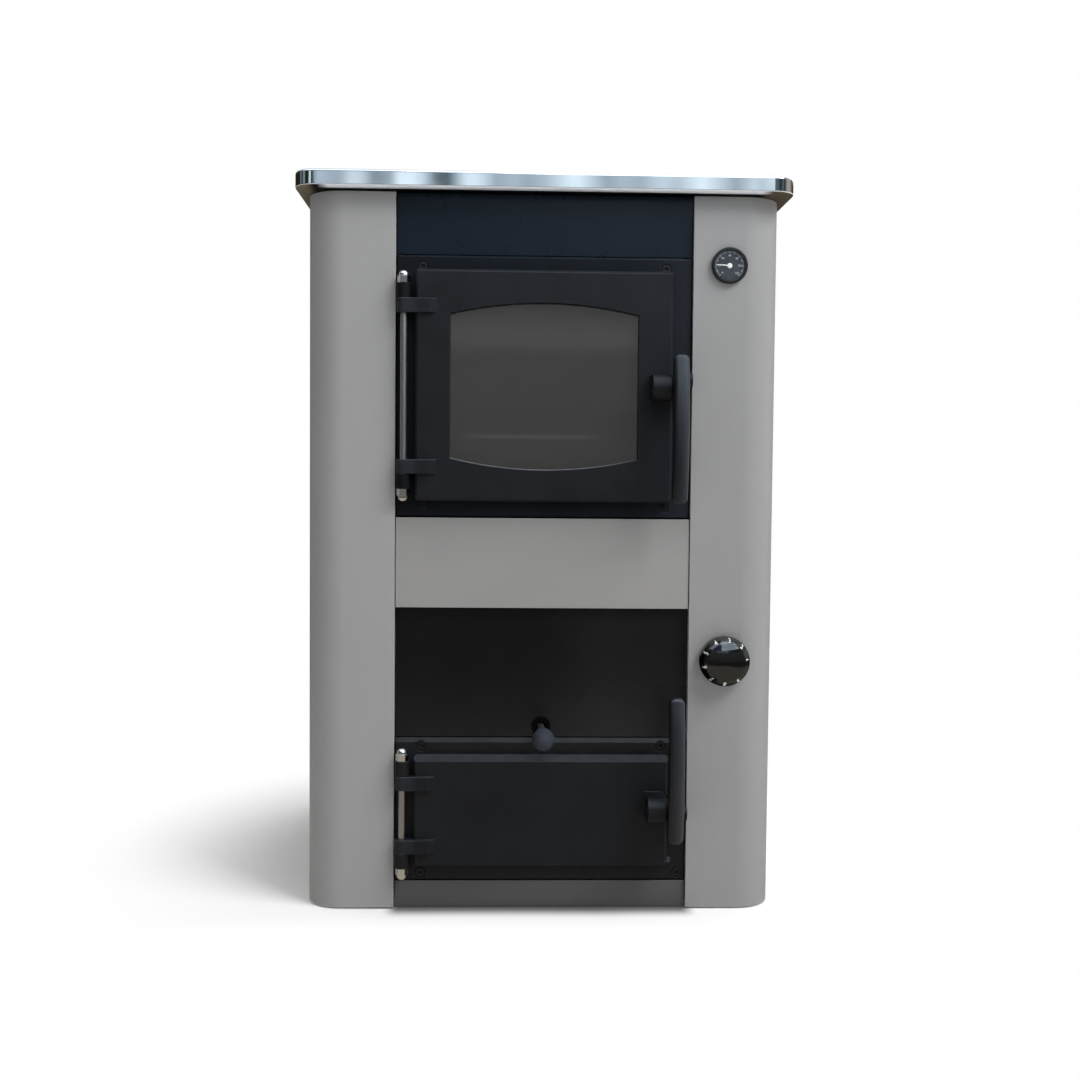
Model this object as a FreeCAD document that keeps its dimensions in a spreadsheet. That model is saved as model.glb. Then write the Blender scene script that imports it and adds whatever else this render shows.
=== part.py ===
import FreeCAD, Part
import math
import os
import re

import Sketcher

# Central heating cooker: a solid-fuel hearth with a boiler jacket, a glazed fire door over an ash door,
# and a cast hob in a chromed rim.
# Frame: +X to the right seen from the front, the front faces -Y, +Z up.
# Origin: on the floor, under the middle of the whole cooker's box. Lengths in millimetres, angles in degrees.

# Driving dimensions
SIZES = {
    # Outer casing
    "overall_height": 850,
    "body_width": 548,
    "body_depth": 560,
    "opening_width": 342,
    "column_radius": 42,
    "sheet": 2,
    "return_depth": 24,
    "rear_return": 22,
    "floor_gap": 2,
    "side_gap": 1,
    "panel_gap": 1,
    "rear_space": 40,
    # Heights of the stacked front panels
    "plinth_height": 31,
    "ash_frame_height": 168,
    "lower_cover_height": 152,
    "middle_height": 105,
    "fire_frame_height": 301,
    # Steps of the front panels behind the column fronts
    "plinth_recess": 4,
    "lower_recess": 10,
    "middle_recess": 1.5,
    "upper_recess": 6,
    "frame_recess": 4,
    # Hob rim, plate and lid
    "rim_height": 20,
    "rim_gap": 1,
    "rim_overhang": 12,
    "rim_front_overhang": 18,
    "rim_radius": 26,
    "rim_width": 40,
    "rim_edge": 3,
    "ledge_width": 10,
    "ledge_thickness": 6,
    "hob_fit": 0.5,
    "hob_sink": 2,
    "lid_radius": 108,
    "lid_thickness": 8,
    "lid_ledge": 9,
    "lid_offset": 70,
    "lid_slot_length": 26,
    "lid_slot_width": 12,
    "lid_slot_depth": 5,
    "carrier_width": 24,
    "carrier_recess": 8,
    # Base frame and feet
    "base_height": 20,
    "base_low": 12,
    "base_width": 26,
    "foot_radius": 12,
    "foot_thickness": 6,
    "stud_radius": 5,
    # Boiler jacket and firebox
    "boiler_side_gap": 47,
    "boiler_wall": 4,
    "boiler_low": 231,
    "boiler_top_gap": 23,
    "fire_half_width": 145,
    "fire_wall": 5,
    "fire_front": 55,
    "water_rear": 65,
    "flue_radius": 75,
    "flue_wall": 4,
    "flue_drop": 106,
    "flue_flange": 20,
    "flue_flange_thickness": 6,
    "flue_cut_gap": 15,
    "spigot_reach": 60,
    "baffle_thickness": 10,
    "baffle_depth": 250,
    "baffle_drop": 216,
    "baffle_rail": 12,
    "guard_height": 58,
    "guard_thickness": 8,
    "guard_low": 432,
    # Water connections
    "pipe_x": 160,
    "flow_drop": 51,
    "return_rise": 44,
    "drain_rise": 21,
    "drain_x": 110,
    "pipe_radius": 16.6,
    "pipe_bore": 13,
    "pipe_reach": 40,
    "pipe_collar": 6,
    "pipe_collar_length": 10,
    "drain_radius": 10.5,
    "drain_bore": 7,
    "drain_reach": 24,
    "sensor_radius": 8,
    "sensor_bore": 5,
    "sensor_reach": 18,
    "pipe_hole_gap": 9,
    # Grate
    "grate_half_width": 144,
    "grate_thickness": 14,
    "grate_opening": 100,
    "grate_ledge": 16,
    "grate_ledge_height": 6,
    "grate_front": 90,
    "grate_length": 290,
    "shaking_length": 262,
    "grate_slot_width": 9,
    "grate_slot_pitch": 21,
    "grate_slots": 9,
    "fit_gap": 0.3,
    # Ash box and ash pan
    "ash_half_width": 126,
    "ash_wall": 3,
    "ash_rear": 458,
    "ash_floor_top": 66,
    "ash_plate": 5,
    "runner_height": 7,
    "runner_width": 14,
    "pan_half_width": 116,
    "pan_wall": 2,
    "pan_height": 76,
    "pan_front": 34,
    "pan_length": 366,
    "pan_rim": 3,
    "pan_grip_width": 110,
    "pan_grip_height": 20,
    "pan_grip_reach": 16,
    # Doors
    "door_width": 295,
    "fire_door_low": 477,
    "fire_door_height": 264,
    "ash_door_low": 53,
    "ash_door_height": 130,
    "door_proud": 14,
    "door_gap": 2,
    "door_bevel": 2.5,
    "ash_door_bevel": 7,
    "door_corner": 4,
    "side_overlap": 22,
    "fire_overlap": 20,
    "ash_overlap": 18,
    "frame_thickness": 8,
    "frame_edge": 1.5,
    "ash_frame_edge": 4.5,
    "frame_corner": 8,
    "window_width": 216,
    "window_low": 526,
    "window_height": 165,
    "window_rise": 13,
    "glass_margin": 6,
    "glass_thickness": 4,
    "glass_gap": 0.4,
    "clip_length": 24,
    "clip_width": 14,
    "clip_thickness": 1.4,
    "seal_width": 8,
    "seal_inset": 9,
    "seal_depth": 3,
    "screw_head": 5.5,
    "screw_head_height": 3,
    "screw_gap": 0.8,
    "screw_socket": 2.3,
    "screw_socket_depth": 2.2,
    "screw_shank": 3,
    "screw_length": 12,
    "screw_inset": 13,
    "screw_corner_inset": 9,
    "screw_x": 140,
    # Hinges
    "hinge_inset": 10,
    "hinge_proud": 10,
    "hinge_pin_radius": 4,
    "knuckle_radius": 8.5,
    "hinge_clearance": 0.3,
    "frame_lug_height": 17.3,
    "door_lug_height": 16,
    "lug_block": 7,
    "door_lug_reach": 38,
    "door_lug_slope": 8,
    "fire_hinge_low": 490.5,
    "fire_hinge_high": 724.8,
    "ash_hinge_low": 51,
    "ash_hinge_high": 176,
    "nut_half_flats": 6.5,
    "nut_hex_height": 8,
    "nut_dome_rise": 1,
    "nut_dome_radius": 6,
    # Lever handles and their keepers
    "fire_pivot_height": 607.5,
    "ash_pivot_height": 126,
    "pivot_proud": 38,
    "pivot_radius": 5,
    "pivot_head_radius": 7.5,
    "pivot_head": 2,
    "boss_radius": 15,
    "boss_left": 121,
    "boss_right": 141.5,
    "lever_left": 142.5,
    "lever_width": 18,
    "hub_radius": 14,
    "lever_long": 131,
    "lever_short": 36,
    "lever_stand": 12,
    "lever_bow": 10,
    "lever_thickness": 13,
    "lever_edge": 4.5,
    "lever_round": 7,
    "latch_angle": 10,
    "nose_left": 149,
    "nose_tip": 35,
    "nose_thickness": 5,
    "nose_drop": 6,
    "nose_rise": 11,
    "neck_top": 3,
    "keeper_radius": 3,
    "keeper_pin_proud": 13.2,
    "keeper_offset": 10,
    "keeper_pin_left": 150,
    "keeper_left": 163.5,
    "keeper_right": 169.5,
    "keeper_half_height": 9,
    # Grate shaker
    "shaker_rise": 13,
    "shaker_reach": 90,
    "shaker_rod_radius": 4,
    "shaker_hole_radius": 5.5,
    "shaker_knob_radius": 12,
    "shaker_knob_length": 50,
    "shaker_neck_radius": 6.5,
    "shaker_lug": 8,
    "collar_radius": 11,
    "collar_thickness": 3,
    # Thermometer and draught regulator
    "gauge_inset": 41,
    "gauge_drop": 100,
    "gauge_radius": 20.75,
    "gauge_bezel": 3,
    "gauge_proud": 6,
    "gauge_can_radius": 17,
    "dial_thickness": 1,
    "dial_depth": 3,
    "lens_thickness": 1,
    "pointer_length": 13,
    "pointer_width": 1.6,
    "pointer_thickness": 0.6,
    "pointer_hub": 2.4,
    "pointer_pin": 0.9,
    "regulator_height": 294,
    "knob_radius": 29,
    "knob_depth": 24,
    "knob_rim": 8,
    "knob_gap": 0.5,
    "stem_radius": 4,
    "stem_length": 14,
    "regulator_flange": 21,
    "regulator_flange_thickness": 3,
    "regulator_radius": 14,
    # Air inlet and its flap
    "inlet_half_width": 50,
    "inlet_low": 86,
    "inlet_height": 50,
    "inlet_wall": 2,
    "inlet_flange": 9,
    "flap_margin": 4,
    "flap_thickness": 3,
    "flap_gap": 0.4,
    "flap_pin_radius": 1.5,
    "flap_knuckle": 4,
    "ear_thickness": 4,
}

# Places that follow from the driving dimensions
PLACES = {
    "half_body": "body_width / 2",
    "half_opening": "opening_width / 2",
    "gauge_x": "half_opening + gauge_inset",
    "gauge_height": "overall_height - gauge_drop",
    "half_panel": "half_opening - side_gap",
    "half_inside": "half_body - sheet",
    "front_face": "(shaker_reach - body_depth - spigot_reach) / 2",
    "rear_face": "front_face + body_depth",
    "plinth_top": "floor_gap + plinth_height",
    "ash_frame_top": "plinth_top + ash_frame_height",
    "lower_cover_top": "ash_frame_top + lower_cover_height",
    "middle_top": "lower_cover_top + middle_height",
    "fire_frame_top": "middle_top + fire_frame_height",
    "rim_low": "overall_height - rim_height",
    "body_top": "rim_low - rim_gap",
    "base_top": "base_low + base_height",
    "boiler_front": "front_face + return_depth",
    "boiler_rear": "rear_face - rear_space",
    "boiler_half": "half_inside - boiler_side_gap",
    "boiler_top": "body_top - boiler_top_gap",
    "fire_low": "boiler_low",
    "fire_start": "front_face + fire_front",
    "fire_end": "boiler_rear - water_rear",
    "flue_height": "boiler_top - flue_drop",
    "baffle_low": "boiler_top - baffle_drop",
    "flow_height": "boiler_top - flow_drop",
    "return_height": "boiler_low + return_rise",
    "drain_height": "boiler_low + drain_rise",
    "shaker_height": "ash_frame_top + shaker_rise",
    "fire_outer": "fire_half_width + fire_wall",
    "panel_back": "rear_face - sheet",
    "spigot_end": "rear_face + spigot_reach",
    "door_plane": "front_face + frame_recess",
    "door_front": "door_plane - door_proud",
    "door_back": "door_plane - door_gap",
    "half_door": "door_width / 2",
    "frame_back": "door_plane + frame_thickness",
    "throat_half": "half_door - side_overlap",
    "fire_door_top": "fire_door_low + fire_door_height",
    "ash_door_top": "ash_door_low + ash_door_height",
    "fire_opening_low": "fire_door_low + fire_overlap",
    "fire_opening_top": "fire_door_top - fire_overlap",
    "ash_opening_low": "ash_door_low + ash_overlap",
    "ash_opening_top": "ash_door_top - ash_overlap",
    "hinge_x": "-(half_opening - hinge_inset)",
    "hinge_y": "door_plane - hinge_proud",
    "pivot_y": "door_plane - pivot_proud",
    "lever_right": "lever_left + lever_width",
    "window_top": "window_low + window_height",
    "half_window": "window_width / 2",
    "window_radius": "(half_window * half_window + window_rise * window_rise) / (2 * window_rise)",
    "glass_half": "half_window + glass_margin",
    "glass_low": "window_low - window_rise - glass_margin",
    "glass_top": "window_top + window_rise + glass_margin",
    "glass_back": "door_back - fit_gap",
    "glass_front": "glass_back - glass_thickness",
    "seal_outer": "half_door - seal_inset",
    "seal_inner": "seal_outer - seal_width",
    "seal_back": "door_plane - fit_gap",
    "rim_half": "half_body + rim_overhang",
    "rim_front": "front_face - rim_front_overhang",
    "rim_rear": "rear_face + rim_front_overhang",
    "hob_half": "rim_half - rim_width",
    "hob_front": "rim_front + rim_width",
    "hob_rear": "rim_rear - rim_width",
    "ledge_top": "rim_low + ledge_thickness",
    "hob_top": "overall_height - hob_sink",
    "lid_y": "(hob_front + hob_rear) / 2 - lid_offset",
    "lid_low": "hob_top - lid_thickness",
    "grate_top": "boiler_low + grate_thickness",
    "grate_shelf": "boiler_low + grate_ledge_height",
    "grate_start": "front_face + grate_front",
    "grate_end": "grate_start + grate_length",
    "grate_recess": "grate_opening + grate_ledge",
    "shaking_end": "grate_end - grate_ledge",
    "shaking_start": "shaking_end - (shaking_length - 2 * grate_ledge)",
    "grate_middle": "(grate_start + grate_end) / 2",
    "ash_plate_low": "boiler_low - ash_plate",
    "ash_end": "front_face + ash_rear",
    "pan_start": "front_face + pan_front",
    "pan_end": "pan_start + pan_length",
    "pan_low": "ash_floor_top + runner_height + fit_gap",
    "pan_top": "pan_low + pan_height",
    "shaker_front": "front_face - shaker_reach",
    "shaker_knob_end": "shaker_front + shaker_knob_length",
    "inlet_top": "inlet_low + inlet_height",
    "inlet_end": "rear_face + sheet",
    "flap_front": "inlet_end + flap_gap",
    "flap_y": "flap_front + flap_thickness / 2",
    "flap_z": "inlet_top + inlet_flange + flap_knuckle",
    "gauge_front": "front_face - gauge_proud",
    "dial_front": "gauge_front + dial_depth",
    "knob_back": "front_face - regulator_flange_thickness - knob_gap",
    "knob_front": "knob_back - knob_depth",
}

document = FreeCAD.newDocument("central_heating_cooker")
sizes = document.addObject("Spreadsheet::Sheet", "Sizes")
for row, (name, size) in enumerate(SIZES.items(), start=1):
    sizes.set(f"A{row}", name)
    sizes.set(f"B{row}", str(size))
    sizes.setAlias(f"B{row}", name)

WORD = re.compile(r"[A-Za-z_][A-Za-z_0-9]*")


def with_sheet(text, sheets):
    """The formula with each known name led by the sheet that holds it."""
    return WORD.sub(lambda found: sheets.get(found.group(), "") + found.group(), text)


places = document.addObject("Spreadsheet::Sheet", "Places")
for row, (name, formula) in enumerate(PLACES.items(), start=1):
    places.set(f"A{row}", name)
    places.set(f"B{row}", "=" + with_sheet(formula, {key: "Sizes." for key in SIZES}))
    places.setAlias(f"B{row}", name)
document.recompute()

SHEETS = {**{key: "Sizes." for key in SIZES}, **{key: "Places." for key in PLACES}}
nodes = {}


def bind(thing, name, text):
    """Tie one property of an object to a formula in the named sizes."""
    thing.setExpression(name, with_sheet(text, SHEETS))


def number(text):
    """The present value of a formula in the named sizes."""
    return float(sizes.evalExpression(with_sheet(text, SHEETS)))


def node(label, thing):
    """Mark an object as one finished piece and give it its name."""
    thing.Label = label
    nodes[label] = thing
    return thing


# Primitives and booleans
def box(name, across, along, upward):
    """A block between pairs of formulas in X, Y and Z."""
    block = document.addObject("Part::Box", name)
    for side, axis, (low, high) in zip(("Length", "Width", "Height"), "xyz", (across, along, upward)):
        bind(block, f"Placement.Base.{axis}", low)
        bind(block, side, f"({high}) - ({low})")
    return block


TURNS = {
    "x": FreeCAD.Rotation(FreeCAD.Vector(0, 1, 0), 90),
    "y": FreeCAD.Rotation(FreeCAD.Vector(1, 0, 0), -90),
    "z": FreeCAD.Rotation(),
}


def rod(name, axis, radius, low, high, first, second):
    """A cylinder along an axis, from low to high, at two places across it in X, Y, Z order."""
    bar = document.addObject("Part::Cylinder", name)
    bar.Placement = FreeCAD.Placement(FreeCAD.Vector(), TURNS[axis])
    bind(bar, "Radius", radius)
    bind(bar, "Height", f"({high}) - ({low})")
    across = [other for other in "xyz" if other != axis]
    for other, text in zip((axis, *across), (low, first, second)):
        bind(bar, f"Placement.Base.{other}", text)
    return bar


def fuse(name, pieces):
    """Several solids made into one."""
    whole = document.addObject("Part::MultiFuse", name)
    whole.Shapes = pieces
    whole.Refine = True
    return whole


def cut(name, base, tools):
    """A solid with others taken out of it."""
    tool = tools[0] if len(tools) == 1 else fuse(name + "_cutters", tools)
    rest = document.addObject("Part::Cut", name)
    rest.Base = base
    rest.Tool = tool
    rest.Refine = True
    return rest


def group(name, pieces):
    """Separate like solids that share one node."""
    several = document.addObject("Part::Compound", name)
    several.Links = pieces
    return several


# Sketched bodies
PLANES = {"XY": "XY_Plane", "XZ": "XZ_Plane", "YZ": "YZ_Plane"}


def arc_edge(start, end, radius, turn):
    """A minor arc between two points; turn 1 bulges to the left of the way from start to end."""
    middle = (start + end) / 2
    half = (end - start).Length / 2
    rise = radius - math.sqrt(max(radius * radius - half * half, 0))
    left = FreeCAD.Vector(start.y - end.y, end.x - start.x, 0).normalize()
    return Part.Arc(start, middle + left * (turn * rise), end)


def pin_point(sketch, edge, end, across, upward):
    """Hold one end of an edge at two formulas measured from the sketch's origin."""
    for kind, text, axis in (("DistanceX", across, -2), ("DistanceY", upward, -1)):
        if text == "0":
            sketch.addConstraint(Sketcher.Constraint("PointOnObject", edge, end, axis))
            continue
        place = Sketcher.Constraint(kind, -1, 1, edge, end, number(text))
        index = sketch.addConstraint(place)
        bind(sketch, f"Constraints[{index}]", text)


def hold_radius(sketch, edge, text):
    """Hold an arc or a circle at a radius."""
    index = sketch.addConstraint(Sketcher.Constraint("Radius", edge, number(text)))
    bind(sketch, f"Constraints[{index}]", text)


HALF_CIRCLE_SHARE = 0.99999


def hold_arc(sketch, edge, first, last, radius):
    """Hold an arc whose ends are fixed: by its radius, or a half circle by its centre beside its ends."""
    chord = sketch.getPoint(edge, last) - sketch.getPoint(edge, first)
    if chord.Length < 2 * number(radius) * HALF_CIRCLE_SHARE:
        hold_radius(sketch, edge, radius)
    elif abs(chord.x) < abs(chord.y):
        sketch.addConstraint(Sketcher.Constraint("Vertical", edge, 3, edge, first))
    else:
        sketch.addConstraint(Sketcher.Constraint("Horizontal", edge, 3, edge, first))


def draw_loop(sketch, corners):
    """A closed outline; a corner with a radius and a turn starts an arc to the next corner."""
    spots = [FreeCAD.Vector(number(corner[0]), number(corner[1]), 0) for corner in corners]
    ends = []
    for index, corner in enumerate(corners):
        start = spots[index]
        finish = spots[(index + 1) % len(spots)]
        if len(corner) == 2:
            edge = sketch.addGeometry(Part.LineSegment(start, finish), False)
        else:
            edge = sketch.addGeometry(arc_edge(start, finish, number(corner[2]), corner[3]), False)
        first = 1 if (sketch.getPoint(edge, 1) - start).Length <= (sketch.getPoint(edge, 2) - start).Length else 2
        ends.append((edge, first, 3 - first))
    for index, (edge, first, last) in enumerate(ends):
        after, after_first, _ = ends[(index + 1) % len(ends)]
        sketch.addConstraint(Sketcher.Constraint("Coincident", edge, last, after, after_first))
    for (edge, first, _), corner in zip(ends, corners):
        pin_point(sketch, edge, first, corner[0], corner[1])
        if len(corner) > 2:
            hold_arc(sketch, edge, first, last, corner[2])


def draw_circle(sketch, across, upward, radius):
    """A full circle about a centre."""
    centre = FreeCAD.Vector(number(across), number(upward), 0)
    edge = sketch.addGeometry(Part.Circle(centre, FreeCAD.Vector(0, 0, 1), number(radius)), False)
    pin_point(sketch, edge, 3, across, upward)
    hold_radius(sketch, edge, radius)


def new_body(name):
    """An empty body for sketched features."""
    return document.addObject("PartDesign::Body", name)


def add_sketch(body, name, plane, loops, offsets):
    """A sketch on one of the body's own planes, moved by three formulas in the plane's own axes."""
    sketch = body.newObject("Sketcher::SketchObject", name)
    planes = [item for item in body.Origin.OriginFeatures if item.Role == PLANES[plane]]
    sketch.AttachmentSupport = [(planes[0], "")]
    sketch.MapMode = "FlatFace"
    for axis, text in zip("xyz", offsets):
        bind(sketch, f"AttachmentOffset.Base.{axis}", text)
    for loop in loops:
        if isinstance(loop, tuple):
            draw_circle(sketch, *loop)
        else:
            draw_loop(sketch, loop)
    return sketch


def level(plane, low, high):
    """How far a plane moves along its normal to start a feature between two places."""
    return ("0", "0", f"-({high})") if plane == "XZ" else ("0", "0", low)


def pad(body, name, plane, loops, low, high):
    """Material between two places along the plane's normal."""
    feature = body.newObject("PartDesign::Pad", name)
    feature.Profile = add_sketch(body, name + "_outline", plane, loops, level(plane, low, high))
    bind(feature, "Length", f"({high}) - ({low})")
    document.recompute()
    return feature


def pocket(body, name, plane, loops, low, high):
    """A cut between two places along the plane's normal, which must take something away."""
    before = body.Shape.Volume
    feature = body.newObject("PartDesign::Pocket", name)
    feature.Profile = add_sketch(body, name + "_outline", plane, loops, level(plane, low, high))
    feature.Reversed = True
    bind(feature, "Length", f"({high}) - ({low})")
    document.recompute()
    if not body.Shape.Volume < before:
        raise ValueError(f"{name} cuts nothing")
    return feature


def soften(body, name, kind, size, chosen):
    """A fillet or chamfer on the edges of the body's present shape that a test picks."""
    base = body.Tip
    edges = [f"Edge{index}" for index, edge in enumerate(base.Shape.Edges, start=1) if chosen(edge)]
    feature = body.newObject("PartDesign::" + kind, name)
    feature.Base = (base, edges)
    bind(feature, "Radius" if kind == "Fillet" else "Size", size)
    document.recompute()
    return feature


def revolve(name, axis, centre, outline):
    """A turned body: outline corners are (radius, way along the axis) from the centre."""
    body = new_body(name)
    x, y, z = centre
    if axis == "x":
        loop = [(corner[1], corner[0], *corner[2:]) for corner in outline]
        plane, offsets, line = "XY", (x, y, z), "H_Axis"
    elif axis == "y":
        loop, plane, offsets, line = outline, "XY", (x, y, z), "V_Axis"
    else:
        loop, plane, offsets, line = outline, "XZ", (x, z, f"-({y})"), "V_Axis"
    sketch = add_sketch(body, name + "_profile", plane, [loop], offsets)
    feature = body.newObject("PartDesign::Revolution", name + "_turn")
    feature.Profile = sketch
    feature.ReferenceAxis = (sketch, [line])
    feature.Angle = 360
    document.recompute()
    return body


def repeat_along_x(body, name, feature, count, length):
    """Copies of a cut in a row along X, which must take more away."""
    before = body.Shape.Volume
    row = body.newObject("PartDesign::LinearPattern", name)
    row.Originals = [feature]
    row.Direction = ([item for item in body.Origin.OriginFeatures if item.Role == "X_Axis"][0], [""])
    bind(row, "Length", length)
    bind(row, "Occurrences", count)
    body.Tip = row
    document.recompute()
    if not body.Shape.Volume < before:
        raise ValueError(f"{name} repeats nothing")
    return row


def rectangle(left, right, low, high):
    """The four corners of a rectangle."""
    return [(left, low), (right, low), (right, high), (left, high)]


def rounded(left, right, low, high, radius):
    """A rectangle with its corners rounded."""
    return [
        (f"({left}) + {radius}", low), (f"({right}) - {radius}", low, radius, -1),
        (right, f"({low}) + {radius}"), (right, f"({high}) - {radius}", radius, -1),
        (f"({right}) - {radius}", high), (f"({left}) + {radius}", high, radius, -1),
        (left, f"({high}) - {radius}"), (left, f"({low}) + {radius}", radius, -1),
    ]


def is_outer_front(plane_y, half_width):
    """Picks the long outline edges that lie in a front plane at a half width or more, or run across it."""
    front = number(plane_y)
    half = number(half_width)

    def chosen(edge):
        bounds = edge.BoundBox
        flat = abs(bounds.YMin - front) < EDGE_NEAR and abs(bounds.YMax - front) < EDGE_NEAR
        wide = max(abs(bounds.XMin), abs(bounds.XMax)) > half - EDGE_NEAR
        return flat and wide
    return chosen


EDGE_NEAR = number("fit_gap") / 10


# Casing
def side_panel(label, side):
    """Folded sheet: front column with a rounded outer corner, side wall, and a return front and back."""
    def at(text):
        return f"{side} * ({text})"

    inner_radius = "column_radius - sheet"
    plan = [
        (at("half_opening"), "front_face"),
        (at("half_body - column_radius"), "front_face", "column_radius", -side),
        (at("half_body"), "front_face + column_radius"),
        (at("half_body"), "rear_face"),
        (at("half_body - rear_return"), "rear_face"),
        (at("half_body - rear_return"), "rear_face - sheet"),
        (at("half_inside"), "rear_face - sheet"),
        (at("half_inside"), "front_face + column_radius", inner_radius, side),
        (at("half_body - column_radius"), "front_face + sheet"),
        (at("half_opening + sheet"), "front_face + sheet"),
        (at("half_opening + sheet"), "boiler_front"),
        (at("half_opening"), "boiler_front"),
    ]
    body = new_body(label + "_body")
    pad(body, label + "_fold", "XY", [plan], "floor_gap", "body_top")
    if side > 0:
        holes = [("gauge_x", "gauge_height", "gauge_can_radius + fit_gap"),
                 ("gauge_x", "regulator_height", "regulator_radius + fit_gap")]
        pocket(body, label + "_holes", "XZ", holes, "front_face", "boiler_front")
    node(label, body)


def back_panel():
    """Flat sheet with cut-outs for the flue, the pipes and the air inlet."""
    body = new_body("back_panel_body")
    outline = rectangle("-(half_inside)", "half_inside", "floor_gap", "body_top")
    pad(body, "back_panel_sheet", "XZ", [outline], "panel_back - sheet", "panel_back")
    holes = [
        ("0", "flue_height", "flue_radius + flue_flange + flue_cut_gap"),
        ("pipe_x", "flow_height", "pipe_radius + pipe_hole_gap"),
        ("-(pipe_x)", "return_height", "pipe_radius + pipe_hole_gap"),
        ("drain_x", "drain_height", "drain_radius + pipe_hole_gap"),
        ("-(pipe_x)", "flow_height", "sensor_radius + pipe_hole_gap"),
    ]
    inlet = rectangle("-(inlet_half_width)", "inlet_half_width", "inlet_low", "inlet_top")
    pocket(body, "back_panel_cuts", "XZ", holes + [inlet], "panel_back - sheet", "panel_back")
    node("back_panel", body)


def cover_panel(label, recess, low, high, hole=None, flat_top=None):
    """A front cover folded back at both sides to stand on the boiler, with a flat tongue above the folds."""
    face = f"front_face + {recess}"
    outer = "half_panel"
    plan = [
        (f"-({outer})", face), (outer, face), (outer, "boiler_front"),
        (f"{outer} - sheet", "boiler_front"), (f"{outer} - sheet", f"{face} + sheet"),
        (f"-({outer} - sheet)", f"{face} + sheet"), (f"-({outer} - sheet)", "boiler_front"),
        (f"-({outer})", "boiler_front"),
    ]
    body = new_body(label + "_body")
    pad(body, label + "_fold", "XY", [plan], low, high)
    if flat_top:
        tongue = rectangle(f"-({outer})", outer, face, f"{face} + sheet")
        pad(body, label + "_tongue", "XY", [tongue], high, flat_top)
    if hole:
        pocket(body, label + "_hole", "XZ", [hole], face, f"{face} + sheet")
    node(label, body)


def plinth_panel():
    """Plain kick plate on the front of the base frame."""
    face = "front_face + plinth_recess"
    plate = box("plinth_plate", ("-(half_panel)", "half_panel"), (face, f"{face} + sheet"),
                ("floor_gap", "plinth_top - panel_gap / 2"))
    node("plinth_panel", plate)


def base_frame():
    """Welded bar frame that carries the ash box, with a threaded hole for a foot in each corner."""
    front = "front_face + plinth_recess + sheet"
    rear = "panel_back - sheet"
    body = new_body("base_frame_body")
    outer = [
        ("-(half_panel)", front), ("half_panel", front),
        ("half_panel", "front_face + column_radius"), ("half_inside", "front_face + column_radius"),
        ("half_inside", rear), ("-(half_inside)", rear),
        ("-(half_inside)", "front_face + column_radius"), ("-(half_panel)", "front_face + column_radius"),
    ]
    inner_front = "front_face + column_radius + base_width"
    inner = rectangle("-(half_inside - base_width)", "half_inside - base_width", inner_front, f"{rear} - base_width")
    pad(body, "base_frame_bars", "XY", [outer, inner], "base_low", "base_top")
    holes = [(x, y, "stud_radius") for x, y in foot_places()]
    pocket(body, "base_frame_threads", "XY", holes, "base_low", "base_top")
    node("base_frame", body)


def foot_places():
    """Centres of the four feet."""
    side = "half_inside - base_width / 2"
    front = "front_face + column_radius + base_width / 2"
    rear = "panel_back - sheet - base_width / 2"
    return [(f"-({side})", front), (side, front), (f"-({side})", rear), (side, rear)]


def levelling_feet():
    """Round pads on threaded studs."""
    feet = []
    for index, (x, y) in enumerate(foot_places()):
        profile = [("0", "0"), ("foot_radius", "0"), ("foot_radius", "foot_thickness * 2 / 3"),
                   ("stud_radius * 3 / 2", "foot_thickness"), ("stud_radius", "foot_thickness"),
                   ("stud_radius", "base_top"), ("0", "base_top")]
        feet.append(revolve(f"foot_{index}", "z", (x, y, "0"), profile))
    node("levelling_feet", group("feet_group", feet))


# Hob
def hob_carrier():
    """Bar frame between the boiler and the hob rim."""
    front = "boiler_front"
    rear = "panel_back - sheet"
    body = new_body("hob_carrier_body")
    outer = rounded("-(half_inside - carrier_recess)", "half_inside - carrier_recess", front, rear,
                    "column_radius")
    inner = rectangle("-(boiler_half - boiler_wall)", "boiler_half - boiler_wall", f"{front} + carrier_width",
                      "boiler_rear - boiler_wall")
    pad(body, "hob_carrier_bars", "XY", [outer, inner], "boiler_top", "rim_low")
    node("hob_carrier", body)


def hob_rim():
    """Polished frame with rounded corners and an inner ledge for the cast plate."""
    body = new_body("hob_rim_body")
    outer = rounded("-(rim_half)", "rim_half", "rim_front", "rim_rear", "rim_radius")
    pad(body, "hob_rim_block", "XY", [outer], "rim_low", "overall_height")
    through = rectangle("-(hob_half - ledge_width)", "hob_half - ledge_width", "hob_front + ledge_width",
                        "hob_rear - ledge_width")
    pocket(body, "hob_rim_opening", "XY", [through], "rim_low", "overall_height")
    seat = rectangle("-(hob_half)", "hob_half", "hob_front", "hob_rear")
    pocket(body, "hob_rim_seat", "XY", [seat], "ledge_top", "overall_height")
    half = number("hob_half")
    front = number("hob_front")

    def outside(edge):
        bounds = edge.BoundBox
        level_edge = bounds.ZLength < EDGE_NEAR
        beyond = max(abs(bounds.XMin), abs(bounds.XMax)) > half + EDGE_NEAR or bounds.YMin < front - EDGE_NEAR
        return level_edge and beyond and (bounds.YMin < front - EDGE_NEAR or beyond)
    soften(body, "hob_rim_edges", "Fillet", "rim_edge", outside)
    node("hob_rim", body)


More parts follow.
